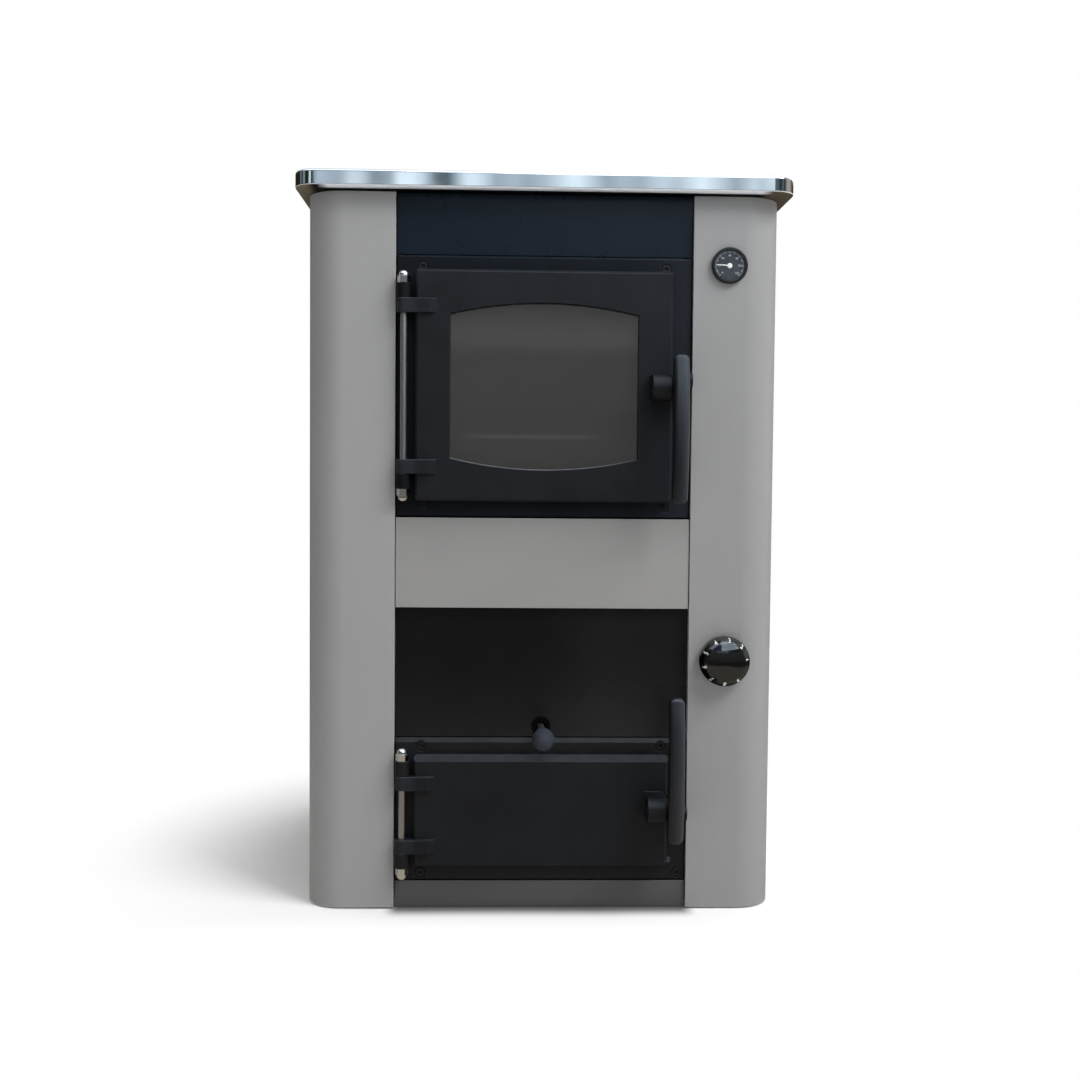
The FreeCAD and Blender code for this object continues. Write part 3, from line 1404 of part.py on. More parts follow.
def regulator():
    """Draught regulator: body through the column and a domed knob on its stem."""
    centre = ("gauge_x", "front_face", "regulator_height")
    bore = "stem_radius + fit_gap"
    body = [
        (bore, "-(regulator_flange_thickness)"), ("regulator_flange", "-(regulator_flange_thickness)"),
        ("regulator_flange", "0"), ("regulator_radius", "0"), ("regulator_radius", "return_depth"),
        ("0", "return_depth"), ("0", "stem_length"), (bore, "stem_length"),
    ]
    node("regulator_body", revolve("regulator_body_turned", "y", centre, body))
    start = "-(regulator_flange_thickness + knob_gap)"
    knob = [
        *crowned("knob_radius", f"{start} - knob_depth", "(knob_depth - knob_rim)", DOME_SHARES),
        ("knob_radius", f"{start} - knob_rim"),
        ("knob_radius", start), ("stem_radius", start), ("stem_radius", "stem_length - fit_gap"),
        ("0", "stem_length - fit_gap"),
    ]
    node("regulator_knob", revolve("regulator_knob_body", "y", centre, knob))


# Air inlet
def air_inlet():
    """Duct from the ash box through the back panel, with a flange and two ears for the flap."""
    outer = box("inlet_outer", ("-(inlet_half_width)", "inlet_half_width"), ("ash_end", "inlet_end"),
                ("inlet_low", "inlet_top"))
    half = "(inlet_half_width + inlet_flange)"
    flange = box("inlet_flange_plate", (f"-{half}", half), ("rear_face - sheet", "inlet_end"),
                 ("inlet_low - inlet_flange", "inlet_top + inlet_flange"))
    pieces = [outer, flange]
    for side in (-1, 1):
        near = f"{side} * {half}"
        far = f"{side} * ({half} - ear_thickness)"
        across = (near, far) if side < 0 else (far, near)
        pieces.append(box(f"inlet_ear_{side + 1}", across, ("inlet_end", "flap_y + flap_knuckle"),
                          ("inlet_top + flap_knuckle", "flap_z + flap_knuckle")))
    pin = rod("inlet_pin", "x", "flap_pin_radius", f"-({half} - ear_thickness)", f"{half} - ear_thickness",
              "flap_y", "flap_z")
    whole = fuse("inlet_whole", pieces)
    hollow = box("inlet_hollow", ("-(inlet_half_width - inlet_wall)", "inlet_half_width - inlet_wall"),
                 ("ash_end", "inlet_end"), ("inlet_low + inlet_wall", "inlet_top - inlet_wall"))
    relief = rod("inlet_relief", "x", "flap_knuckle + fit_gap", f"-({half} - ear_thickness)",
                 f"{half} - ear_thickness", "flap_y", "flap_z")
    carved = cut("inlet_carved", whole, [hollow, relief])
    node("air_inlet", fuse("inlet_fused", [carved, pin]))


def air_flap():
    """Hinged flap over the air inlet."""
    half = "(inlet_half_width + inlet_flange - ear_thickness - fit_gap)"
    body = new_body("air_flap_body")
    section = [
        ("flap_front", "inlet_low - flap_margin"), ("flap_front + flap_thickness", "inlet_low - flap_margin"),
        ("flap_front + flap_thickness", "flap_z"), ("flap_front", "flap_z"),
    ]
    pad(body, "air_flap_plate", "YZ", [section], f"-{half}", half)
    pad(body, "air_flap_knuckle", "YZ", [("flap_y", "flap_z", "flap_knuckle")], f"-{half}", half)
    pocket(body, "air_flap_bore", "YZ", [("flap_y", "flap_z", "flap_pin_radius + fit_gap")], f"-{half}", half)
    node("air_flap", body)


def build_all():
    """Every piece of the cooker."""
    side_panel("left_side_panel", -1)
    side_panel("right_side_panel", 1)
    back_panel()
    gap = "panel_gap / 2"
    cover_panel("lower_cover_panel", "lower_recess", f"ash_frame_top + {gap}", f"lower_cover_top - {gap}",
                ("0", "shaker_height", "shaker_hole_radius + sheet / 2"))
    cover_panel("middle_panel", "middle_recess", f"lower_cover_top + {gap}", f"middle_top - {gap}")
    cover_panel("upper_cover_panel", "upper_recess", f"fire_frame_top + {gap}", "boiler_top", None, "body_top")
    plinth_panel()
    base_frame()
    levelling_feet()
    hob_carrier()
    hob_rim()
    hob_plate()
    hob_lid()
    boiler_outer_shell()
    firebox_shell()
    baffle_plate()
    log_guard()
    flue_spigot()
    pipe_stub("flow_connection", "pipe_x", "flow_height", "pipe_radius", "pipe_bore", "pipe_reach")
    pipe_stub("return_connection", "-(pipe_x)", "return_height", "pipe_radius", "pipe_bore", "pipe_reach")
    pipe_stub("drain_connection", "drain_x", "drain_height", "drain_radius", "drain_bore", "drain_reach")
    pipe_stub("sensor_pocket", "-(pipe_x)", "flow_height", "sensor_radius", "sensor_bore", "sensor_reach")
    grate_frame()
    shaking_grate()
    shaker()
    ash_box()
    ash_runners()
    ash_pan()
    door_frame("fire_door_frame", f"middle_top + {gap}", f"fire_frame_top - {gap}", "fire_opening_low",
               "fire_opening_top", ("fire_hinge_low", "fire_hinge_high - frame_lug_height"), fire_screws())
    door_frame("ash_door_frame", f"plinth_top + {gap}", f"ash_frame_top - {gap}", "ash_opening_low",
               "ash_opening_top", ("ash_hinge_low", "ash_hinge_high - frame_lug_height"), ash_screws(),
               "ash_frame_edge")
    frame_screws("fire_frame_screws", fire_screws())
    frame_screws("ash_frame_screws", ash_screws())
    for prefix in ("fire", "ash"):
        hinge_pin(prefix, f"{prefix}_hinge_low", f"{prefix}_hinge_high")
        hinge_nuts(prefix, f"{prefix}_hinge_low", f"{prefix}_hinge_high")
    fire_door()
    ash_door()
    for prefix, way in (("fire", 1), ("ash", -1)):
        handle_pivot(prefix + "_handle_pivot", f"{prefix}_pivot_height")
        lever(prefix + "_handle", f"{prefix}_pivot_height", way)
        keeper(prefix + "_keeper", f"{prefix}_pivot_height", way)
    thermometer()
    regulator()
    air_inlet()
    air_flap()


def check_and_write():
    """Stop on any failed object or unsound shape, then write one file for each piece."""
    document.recompute()
    for thing in document.Objects:
        if "Invalid" in thing.State or "Error" in thing.State:
            raise ValueError(f"{thing.Name} ({thing.Label}) failed: {thing.State}")
    for label, thing in nodes.items():
        if thing.Shape.isNull() or not thing.Shape.isValid() or not thing.Shape.Solids:
            raise ValueError(f"{label} has no sound shape")
    os.makedirs("parts", exist_ok=True)
    for label, thing in nodes.items():
        thing.Shape.exportStep(f"parts/{label}.step")
    print(len(nodes), "pieces written")


build_all()
check_and_write()
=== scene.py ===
"""Central heating cooker: finishes, small parts, camera and light."""
import math

import bmesh
import bpy
from mathutils import Matrix, Vector
from mathutils.bvhtree import BVHTree


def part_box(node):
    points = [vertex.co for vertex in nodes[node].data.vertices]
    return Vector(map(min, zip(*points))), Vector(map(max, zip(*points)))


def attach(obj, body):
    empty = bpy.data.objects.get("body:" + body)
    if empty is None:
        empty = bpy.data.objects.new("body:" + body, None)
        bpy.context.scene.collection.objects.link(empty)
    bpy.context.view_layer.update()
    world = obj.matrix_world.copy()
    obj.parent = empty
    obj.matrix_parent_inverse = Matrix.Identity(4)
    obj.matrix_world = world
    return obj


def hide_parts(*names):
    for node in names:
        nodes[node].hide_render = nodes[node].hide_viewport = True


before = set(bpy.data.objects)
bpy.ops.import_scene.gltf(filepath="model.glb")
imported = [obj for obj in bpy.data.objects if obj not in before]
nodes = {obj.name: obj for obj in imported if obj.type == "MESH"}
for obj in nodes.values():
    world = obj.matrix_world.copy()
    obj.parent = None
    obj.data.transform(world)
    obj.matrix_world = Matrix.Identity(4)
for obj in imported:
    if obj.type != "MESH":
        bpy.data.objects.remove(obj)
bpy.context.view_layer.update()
scene = bpy.context.scene

MM = 0.001


# Colours
def linear(value):
    """One channel of a display colour, 0 to 255, as scene light."""
    share = value / 255
    return share / 12.92 if share <= 0.04045 else ((share + 0.055) / 1.055) ** 2.4


def colour(red, green, blue):
    return (linear(red), linear(green), linear(blue), 1.0)


def scaled(tint, share):
    return (tint[0] * share, tint[1] * share, tint[2] * share, 1.0)


def grey(level):
    return (level, level, level, 1.0)


# Node trees
class Nodes:
    """Small steps that build up a node tree."""

    def __init__(self, tree):
        self.tree = tree

    def node(self, kind):
        return self.tree.nodes.new(kind)

    def link(self, source, target):
        self.tree.links.new(source, target)

    def feed(self, value, socket):
        """Link an output to a socket, or set a plain value on it."""
        if isinstance(value, bpy.types.NodeSocket):
            self.link(value, socket)
        else:
            socket.default_value = value

    def split(self, vector):
        """The three parts of a vector."""
        node = self.node("ShaderNodeSeparateXYZ")
        self.link(vector, node.inputs["Vector"])
        return node.outputs

    def math(self, operation, first, second=0.0):
        node = self.node("ShaderNodeMath")
        node.operation = operation
        self.feed(first, node.inputs[0])
        self.feed(second, node.inputs[1])
        return node.outputs[0]

    def product(self, first, second):
        return self.math("MULTIPLY", first, second)

    def spread(self, value, start, end, low=0.0, high=1.0, smooth=False):
        """Take a value from between start and end to between low and high."""
        node = self.node("ShaderNodeMapRange")
        node.interpolation_type = "SMOOTHSTEP" if smooth else "LINEAR"
        for key, level in (("From Min", start), ("From Max", end),
                           ("To Min", low), ("To Max", high)):
            node.inputs[key].default_value = level
        self.link(value, node.inputs["Value"])
        return node.outputs["Result"]

    def between(self, value, start, full, full_end, end):
        """One inside a stretch of values, with soft ends."""
        return self.product(self.spread(value, start, full), self.spread(value, end, full_end))

    def noise(self, scale, detail=2.0, rough=0.5, place=None):
        """Grey noise from 0 to 1."""
        node = self.node("ShaderNodeTexNoise")
        for key, level in (("Scale", scale), ("Detail", detail), ("Roughness", rough)):
            node.inputs[key].default_value = level
        if place is not None:
            self.link(place, node.inputs["Vector"])
        return node.outputs["Fac"]

    def ramp(self, factor, stops):
        """Colours along a factor from 0 to 1."""
        node = self.node("ShaderNodeValToRGB")
        elements = node.color_ramp.elements
        while len(elements) < len(stops):
            elements.new(0.5)
        for element, (at, tint) in zip(elements, stops):
            element.position = at
            element.color = tint
        self.link(factor, node.inputs["Fac"])
        return node.outputs["Color"]

    def stops(self, value, stops):
        """Colours at given values, held beyond the first and last."""
        low, high = stops[0][0], stops[-1][0]
        return self.ramp(self.spread(value, low, high),
                         [((at - low) / (high - low), tint) for at, tint in stops])

    def mottled(self, noise, dark, light, low=0.35, high=0.65):
        """Colours that wander between two tones."""
        return self.ramp(noise, [(low, dark), (high, light)])

    def mix(self, factor, first, second, blend="MIX"):
        """One colour moved towards another by a factor."""
        node = self.node("ShaderNodeMix")
        node.data_type = "RGBA"
        node.blend_type = blend
        for value, at in ((factor, 0), (first, 6), (second, 7)):
            self.feed(value, node.inputs[at])
        return node.outputs[2]

    def mix_numbers(self, factor, first, second):
        node = self.node("ShaderNodeMix")
        for value, at in ((factor, 0), (first, 2), (second, 3)):
            self.feed(value, node.inputs[at])
        return node.outputs[0]

    def seen(self):
        """One for rays from the camera, from mirrors and through glass."""
        ray = self.node("ShaderNodeLightPath").outputs
        beyond = self.math("MAXIMUM", ray["Is Glossy Ray"], ray["Is Transmission Ray"])
        return self.math("MAXIMUM", ray["Is Camera Ray"], beyond)


NOISE_MIDDLE = (0.3, 0.7)
TONE_NOISE = (0.32, 0.68)
BEVEL_SAMPLES = 4
# Wear and a painted edge highlight show where the softened edge turns away from the face:
# cosines of full and no edge tint
EDGE_TURN = (0.88, 0.995)
WEAR_AND_HIGHLIGHT_SCALE = 60.0
WEAR_AND_HIGHLIGHT_PATCHES = (0.35, 1.0)
FACING_UP = (0.05, 0.3)


class Finish(Nodes):
    """A procedural surface material."""

    def __init__(self, name, rough, metallic=0.0, specular=0.5):
        self.material = bpy.data.materials.new(name)
        self.material.use_nodes = True
        super().__init__(self.material.node_tree)
        self.shader = self.tree.nodes["Principled BSDF"]
        self.shader.inputs["Roughness"].default_value = rough
        self.shader.inputs["Metallic"].default_value = metallic
        self.shader.inputs["Specular IOR Level"].default_value = specular
        self.place = self.node("ShaderNodeTexCoord").outputs["Object"]
        self.edge = None

    def cloud(self, scale, detail=4.0, stretch=None):
        """Noise over the object, with its own scale along each axis where stretch is given."""
        place = self.place
        if stretch:
            mapping = self.node("ShaderNodeMapping")
            mapping.inputs["Scale"].default_value = stretch
            self.link(place, mapping.inputs["Vector"])
            place = mapping.outputs["Vector"]
        return self.noise(scale, detail, 0.55, place)

    def normal(self):
        """Parts of the surface's own direction."""
        return self.split(self.node("ShaderNodeNewGeometry").outputs["Normal"])

    def tone(self, dark, light, scale, detail=4.0):
        """Base colour that wanders between two tones."""
        self.link(self.mottled(self.cloud(scale, detail), dark, light, *TONE_NOISE),
                  self.shader.inputs["Base Color"])

    def sheen(self, low, high, scale, stretch=None):
        """Roughness that wanders between two values."""
        self.link(self.spread(self.cloud(scale, 3.0, stretch), *NOISE_MIDDLE, low, high),
                  self.shader.inputs["Roughness"])

    def grain(self, scale, height, strength, detail=2.0, stretch=None):
        """Fine surface relief over softened edges."""
        bump = self.node("ShaderNodeBump")
        bump.inputs["Distance"].default_value = height
        bump.inputs["Strength"].default_value = strength
        self.link(self.cloud(scale, detail, stretch), bump.inputs["Height"])
        if self.edge:
            self.link(self.edge, bump.inputs["Normal"])
        self.link(bump.outputs["Normal"], self.shader.inputs["Normal"])

    def soften(self, radius):
        """Edges look rounded by this radius."""
        bevel = self.node("ShaderNodeBevel")
        bevel.samples = BEVEL_SAMPLES
        bevel.inputs["Radius"].default_value = radius
        self.edge = bevel.outputs["Normal"]

    def worn_and_highlit(self, tint, share, level_share=1.0):
        """Wear and a painted highlight along the edges; level_share holds where an edge
        doesn't face up.
        """
        turn = self.node("ShaderNodeVectorMath")
        turn.operation = "DOT_PRODUCT"
        self.link(self.node("ShaderNodeNewGeometry").outputs["Normal"], turn.inputs[0])
        self.link(self.edge, turn.inputs[1])
        near = self.spread(turn.outputs["Value"], *EDGE_TURN, share, 0.0)
        patchy = self.spread(self.cloud(WEAR_AND_HIGHLIGHT_SCALE, 3.0), *NOISE_MIDDLE, *WEAR_AND_HIGHLIGHT_PATCHES)
        rubbed_and_lit = self.product(near, patchy)
        # Painted highlight: edges that face up keep the full tint, the others only level_share
        # of it
        if level_share < 1:
            upward = self.split(self.edge)["Z"]
            rubbed_and_lit = self.product(rubbed_and_lit, self.spread(upward, *FACING_UP, level_share, 1.0))
        socket = self.shader.inputs["Base Color"]
        self.link(self.mix(rubbed_and_lit, socket.links[0].from_socket, tint), socket)

    def across(self, axis, stops):
        """Multiply the base colour by tones laid along one axis."""
        socket = self.shader.inputs["Base Color"]
        tones = self.stops(self.split(self.place)[axis], stops)
        self.link(self.mix(1.0, socket.links[0].from_socket, tones, "MULTIPLY"), socket)

    def blend(self, key, factor, value):
        """Move a shader input towards a value or an output where the factor is one."""
        socket = self.shader.inputs[key]
        present = socket.links[0].from_socket if socket.links else socket.default_value
        mix = self.mix if key == "Base Color" else self.mix_numbers
        self.link(mix(factor, present, value), socket)


def painted(name, tint, rough, spread=0.05, specular=0.4, grain=3.0e-6, edge=1.35,
            round_edge=0.9 * MM):
    """Paint or powder coat: nearly even tone, slight orange peel, edges lighter from wear and
    a painted highlight.
    """
    finish = Finish(name, rough, 0.0, specular)
    finish.tone(scaled(tint, 1 - spread), scaled(tint, 1 + spread), 7.0)
    finish.sheen(rough - 0.04, rough + 0.04, 30.0)
    finish.soften(round_edge)
    finish.worn_and_highlit(scaled(tint, edge), 0.8)
    finish.grain(420.0, grain, 0.6)
    return finish


def cast(name, tint, rough, spread=0.12, height=2.5e-5, specular=0.35, edge=1.5):
    """Cast iron under stove paint: fine pitted skin, edges lighter from wear and a painted
    highlight strongest where they face up.
    """
    finish = Finish(name, rough, 0.0, specular)
    finish.tone(scaled(tint, 1 - spread), scaled(tint, 1 + spread), 22.0)
    finish.sheen(rough - 0.06, rough + 0.08, 55.0)
    finish.soften(1.2 * MM)
    finish.worn_and_highlit(scaled(tint, edge), 0.9, 0.25)
    finish.grain(700.0, height, 0.5, 3.0)
    return finish


def metal(name, tint, rough, stretch=None, spread=0.05, height=3.0e-6, scale=500.0):
    """Bare or plated metal with faint drawn marks."""
    finish = Finish(name, rough, 1.0, 0.5)
    finish.tone(scaled(tint, 1 - spread), scaled(tint, min(1.0, 1 + spread)), 40.0, 3.0)
    finish.sheen(max(0.02, rough - 0.03), rough + 0.03, 25.0)
    finish.soften(0.6 * MM)
    finish.grain(scale, height, 0.5, 2.0, stretch)
    return finish


def ground(name, tint, rough):
    """Cast iron ground flat: fine straight marks over a slightly cloudy tone."""
    finish = Finish(name, rough, 0.0, 0.45)
    finish.tone(scaled(tint, 0.82), scaled(tint, 1.18), 6.0, 7.0)
    finish.sheen(rough - 0.08, rough + 0.10, 1.0, (5, 330, 5))
    finish.soften(0.8 * MM)
    finish.worn_and_highlit(scaled(tint, 1.7), 0.7)
    finish.grain(1.0, 3.0e-5, 0.8, 3.0, (10, 620, 10))
    return finish


def glass(name, tint, rough, alpha):
    """Clear or smoked pane."""
    finish = Finish(name, rough, 0.0, 0.5)
    finish.tone(scaled(tint, 0.96), scaled(tint, 1.04), 4.0)
    finish.shader.inputs["Alpha"].default_value = alpha
    return finish


# Finishes of the outside
COLUMN = painted("column_paint", colour(141, 141, 141), 0.40, 0.015, edge=1.9)
# Painted light and shade: lighter towards the left, darker towards the right, against the key
# lamp from the right
COLUMN.across("X", [(-0.28, grey(1.06)), (-0.15, grey(1.09)), (0.15, grey(0.96)),
                    (0.28, grey(0.94))])
MIDDLE = painted("middle_paint", colour(139, 138, 137), 0.40, 0.015, edge=1.9)
# Painted shade: darker towards the top, under the fire door that stands out above
MIDDLE.across("Z", [(0.35, grey(1.0)), (0.40, grey(1.0)), (0.435, grey(0.93)),
                    (0.46, grey(0.80))])
# The blue in this black is a painted sky reflection
UPPER = painted("upper_paint", colour(13, 23, 33), 0.30, 0.06, 0.20, 5.0e-7, edge=2.0)
LOWER = painted("lower_paint", colour(19, 19, 20), 0.20, 0.10, edge=2.0)
# Painted sheen: lighter towards the right and towards the bottom
LOWER.across("X", [(-0.17, grey(0.75)), (0.0, grey(0.8)), (0.08, (1.4, 1.4, 1.35, 1)),
                   (0.17, grey(1.3))])
LOWER.across("Z", [(0.2, (1.75, 1.7, 1.7, 1)), (0.235, (1.5, 1.45, 1.45, 1)),
                   (0.30, grey(1.0)), (0.352, grey(0.95))])
PLINTH = painted("plinth_paint", colour(78, 78, 78), 0.5, 0.05, 0.3)
# The strong edge tints here and on the frames are painted edge highlights
DOOR = cast("door_paint", colour(21, 23, 27), 0.44, specular=0.22, edge=12.0)
# Painted highlight: the hinge arms beyond the door's left edge are lighter
DOOR.across("X", [(-0.17, grey(1.8)), (-0.150, grey(1.8)), (-0.144, grey(1.0)),
                  (0.15, grey(1.0))])
FRAME = cast("frame_paint", colour(24, 28, 34), 0.50, specular=0.16, edge=16.0)
# Painted shade and sheen: dark at the left, blue-tinted across the middle, lightest at the
# right
FRAME.across("X", [(-0.175, grey(0.34)), (-0.155, grey(0.30)), (-0.13, (0.28, 0.39, 0.47, 1)),
                   (0.10, (0.33, 0.44, 0.54, 1)), (0.165, grey(0.95)), (0.175, grey(0.95))])
ASH_FRAME = cast("ash_frame_paint", colour(17, 17, 19), 0.50, specular=0.3, edge=9.0)
SCREW = cast("screw_black", colour(10, 11, 13), 0.45, 0.1, 1.0e-5, 0.4)
LEVER = cast("lever_paint", colour(46, 49, 55), 0.36, 0.08, 1.5e-5, 0.5, edge=3.0)
lever_left, lever_right = (corner[0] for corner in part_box("fire_handle"))
lever_middle = lever_left + (lever_right - lever_left) * 0.45
# Painted light and shade: dark navy on the left, lighter on the right where the light falls
LEVER.across("X", [(lever_left, (0.06, 0.08, 0.12, 1)), (lever_middle, (0.34, 0.36, 0.42, 1)),
                   (lever_right, (1.2, 1.2, 1.16, 1))])
BOSS = cast("pivot_paint", colour(22, 26, 33), 0.36, 0.08, 1.5e-5, 0.6)
EGG = cast("knob_satin", colour(46, 50, 58), 0.62, 0.06, 2.0e-5, 0.25)
# Near black: the dark hole round the shaker rod and the knob's painted shadow
HOLE_AND_SHADOW = cast("collar_hole_and_shadow", colour(3, 3, 3), 0.7, 0.1, 1.5e-5, 0.05, edge=1.0)
PIN = cast("pin_steel", colour(62, 65, 70), 0.4, 0.1, 1.0e-5, 0.5)

# The regulator knob: glossy face, and a side that shines only where it faces up
KNOB_SIDE_FACES = (-0.74, -0.5)
KNOB_LEVEL_FACES = (0.45, 0.2)
KNOB = painted("knob_gloss", colour(5, 5, 6), 0.07, 0.1, 1.0, 1.0e-6, round_edge=0.2 * MM)
knob_normal = KNOB.normal()
dull_side = KNOB.product(KNOB.spread(knob_normal["Y"], *KNOB_SIDE_FACES),
                         KNOB.spread(knob_normal["Z"], *KNOB_LEVEL_FACES))
KNOB.blend("Specular IOR Level", dull_side, 0.0)

# Finishes of the hob and the inside
RAW_CAST = cast("raw_cast_iron", colour(58, 55, 52), 0.62, 0.25, 1.2e-4)
GROUND = ground("ground_iron", colour(66, 65, 63), 0.40)
STEEL = cast("boiler_steel", colour(40, 39, 38), 0.6, 0.2, 4.0e-5)

# Bright parts, the window and the thermometer
NICKEL = metal("bright_nickel", (0.86, 0.84, 0.80, 1), 0.10)
ZINC = metal("zinc_rod", (0.52, 0.51, 0.49, 1), 0.32, (1, 1, 0.05), 0.10)
ROPE = cast("glass_rope", colour(50, 48, 46), 0.9, 0.3, 5.0e-4, 0.1)
# A pale strip that paints the highlight along the window's lower arc
ARC_HIGHLIGHT = cast("window_arc_highlight", colour(118, 120, 120), 0.8, 0.15, 2.0e-5, 0.2)
LENS = glass("gauge_lens", colour(160, 165, 170), 0.05, 0.03)
DIAL = painted("dial_black", colour(34, 41, 48), 0.5, 0.20, 0.3)
DIAL_PRINT = painted("dial_print", colour(190, 196, 202), 0.45)
BEZEL = painted("bezel_black", colour(8, 9, 9), 0.30, 0.05, 0.5)
WHITE = painted("marking_white", colour(225, 225, 222), 0.45, 0.02)
MARKING = painted("knob_white", colour(225, 227, 228), 0.45, 0.02)

# The door's pane: a mirror-like heat coating over a dark film that closes towards the top
PANE_IOR = 2.8
PANE_CLEAR_HEIGHTS = (0.57, 0.61)
PANE_ALPHAS = (0.93, 1.0)
DOOR_GLASS = glass("door_glass", colour(40, 40, 40), 0.03, 1.0)
DOOR_GLASS.shader.inputs["IOR"].default_value = PANE_IOR
DOOR_GLASS.link(DOOR_GLASS.spread(DOOR_GLASS.split(DOOR_GLASS.place)["Z"],
                                  *PANE_CLEAR_HEIGHTS, *PANE_ALPHAS),
                DOOR_GLASS.shader.inputs["Alpha"])

# The rim: bright outside, satin lower edge, dull brown underside that was never polished, near
# black along the front as painted shade under the rim
SATIN = (0.80, 0.83, 0.86, 1)
RIM_SHADOW_BLACK = grey(0.004)
RIM_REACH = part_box("hob_rim")[1][0]
# Painted shade: the underside is near black along the front, between the brown corners
UNDERSIDE_TONES = [(-RIM_REACH, (0.20, 0.17, 0.12, 1)), (-0.270, (0.16, 0.13, 0.09, 1)),
                   (-0.262, RIM_SHADOW_BLACK), (0.245, RIM_SHADOW_BLACK), (0.258, (0.11, 0.08, 0.055, 1)),
                   (RIM_REACH, (0.10, 0.075, 0.05, 1))]
SATIN_FACES = (-0.10, -0.18)
UNDERSIDE_FACES = (-0.28, -0.40)
LIP_DEPTH = (-0.2735, -0.2765)
LIP_REACH = (0.258, 0.246)


def polished_rim():
    finish = metal("rim_chrome", (0.88, 0.89, 0.90, 1), 0.045, (9, 9, 0.01), 0.02, 1.2e-4, 1.3)
    facing_up = finish.normal()["Z"]
    place = finish.split(finish.place)
    lower_edge = finish.spread(facing_up, *SATIN_FACES)
    finish.blend("Base Color", lower_edge, SATIN)
    finish.blend("Metallic", lower_edge, 0.3)
    finish.blend("Roughness", lower_edge, 0.4)
    front_lip = finish.product(finish.spread(place["Y"], *LIP_DEPTH),
                               finish.spread(finish.math("ABSOLUTE", place["X"]), *LIP_REACH))
    underside = finish.product(finish.spread(facing_up, *UNDERSIDE_FACES),
                               finish.math("SUBTRACT", 1.0, front_lip))
    finish.blend("Base Color", underside, finish.stops(place["X"], UNDERSIDE_TONES))
    finish.blend("Roughness", underside, 0.6)
    finish.blend("Specular IOR Level", underside, 0.1)
    return finish


RIM = polished_rim()

FINISHES = {
    COLUMN: ["left_side_panel", "right_side_panel", "back_panel"],
    MIDDLE: ["middle_panel"],
    UPPER: ["upper_cover_panel"],
    LOWER: ["lower_cover_panel"],
    PLINTH: ["plinth_panel"],
    DOOR: ["fire_door_panel", "ash_door_panel"],
    FRAME: ["fire_door_frame", "fire_keeper"],
    ASH_FRAME: ["ash_door_frame", "ash_keeper"],
    SCREW: ["fire_frame_screws", "ash_frame_screws"],
    LEVER: ["fire_handle", "ash_handle"],
    BOSS: ["fire_handle_pivot", "ash_handle_pivot"],
    EGG: ["shaker_knob"],
    HOLE_AND_SHADOW: ["shaker_collar"],
    GROUND: ["hob_plate", "hob_lid"],
    RAW_CAST: ["baffle_plate", "log_guard", "grate_frame", "shaking_grate"],
    STEEL: ["base_frame", "levelling_feet", "hob_carrier", "boiler_outer_shell",
            "firebox_shell", "ash_box", "ash_runners", "ash_pan", "flue_spigot",
            "flow_connection", "return_connection", "drain_connection", "sensor_pocket",
            "air_inlet", "air_flap"],
    RIM: ["hob_rim"],
    NICKEL: ["fire_hinge_nuts", "ash_hinge_nuts"],
    ZINC: ["fire_hinge_pin", "ash_hinge_pin", "shaker_rod", "glass_clips"],
    ROPE: ["fire_door_seal", "ash_door_seal"],
    DOOR_GLASS: ["fire_door_glass"],
    LENS: ["thermometer_glass"],
    DIAL: ["thermometer_dial"],
    BEZEL: ["thermometer_case"],
    KNOB: ["regulator_knob", "regulator_body"],
    WHITE: ["thermometer_pointer"],
}


def give(thing, finish):
    """Put a finish on an object's own material slots."""
    if not thing.material_slots:
        thing.data.materials.append(finish.material)
    for slot in thing.material_slots:
        slot.link = "OBJECT"
        slot.material = finish.material


for finish, labels in FINISHES.items():
    for label in labels:
        give(nodes[label], finish)


# Pieces that model.glb doesn't hold
TO_FRONT = Vector((0, -1, 0))
TO_BACK = Vector((0, 1, 0))


def mesh_of(name, work):
    """The mesh of a finished working copy, which is freed."""
    mesh = bpy.data.meshes.new(name)
    work.to_mesh(mesh)
    work.free()
    return mesh


def placed(name, mesh, material):
    thing = bpy.data.objects.new(name, mesh)
    thing.data.materials.append(material)
    scene.collection.objects.link(thing)
    return thing


def piece(name, work, finish, body):
    """A finished mesh that rides on a body and takes a material slot."""
    bmesh.ops.recalc_face_normals(work, faces=work.faces)
    thing = placed(name, mesh_of(name, work), finish.material)
    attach(thing, body)
    return thing


def prism(work, outline, front, back):
    """A flat shape on an upright plane: corners (x, z) between two depths."""
    near = [work.verts.new((corner.x, front, corner.y)) for corner in outline]
    far = [work.verts.new((corner.x, back, corner.y)) for corner in outline]
    work.faces.new(near)
    work.faces.new(far[::-1])
    for index in range(len(outline)):
        after = (index + 1) % len(outline)
        work.faces.new((near[index], far[index], far[after], near[after]))


def taper(start, end, start_half, end_half):
    """Corners of a bar between two points, with half its width at each end."""
    start, end = Vector(start), Vector(end)
    along = (end - start).normalized()
    aside = Vector((-along.y, along.x))
    return [start + aside * start_half, end + aside * end_half,
            end - aside * end_half, start - aside * start_half]


def turned_head(work, place, profile, sides, out):
    """A small head revolved about an axis that leaves the sheet: profile of (radius, rise)."""
    first = out.orthogonal().normalized()
    second = out.cross(first)
    rows = []
    for radius, rise in profile:
        angles = (2 * math.pi * index / sides for index in range(sides))
        rows.append([work.verts.new(Vector(place) + out * rise
                                    + (first * math.cos(a) + second * math.sin(a)) * radius)
                     for a in angles])
    for row, after in zip(rows, rows[1:]):
        for index in range(sides):
            beside = (index + 1) % sides
            work.faces.new((row[index], row[beside], after[beside], after[index]))
    work.faces.new(rows[0][::-1])
    work.faces.new(rows[-1])


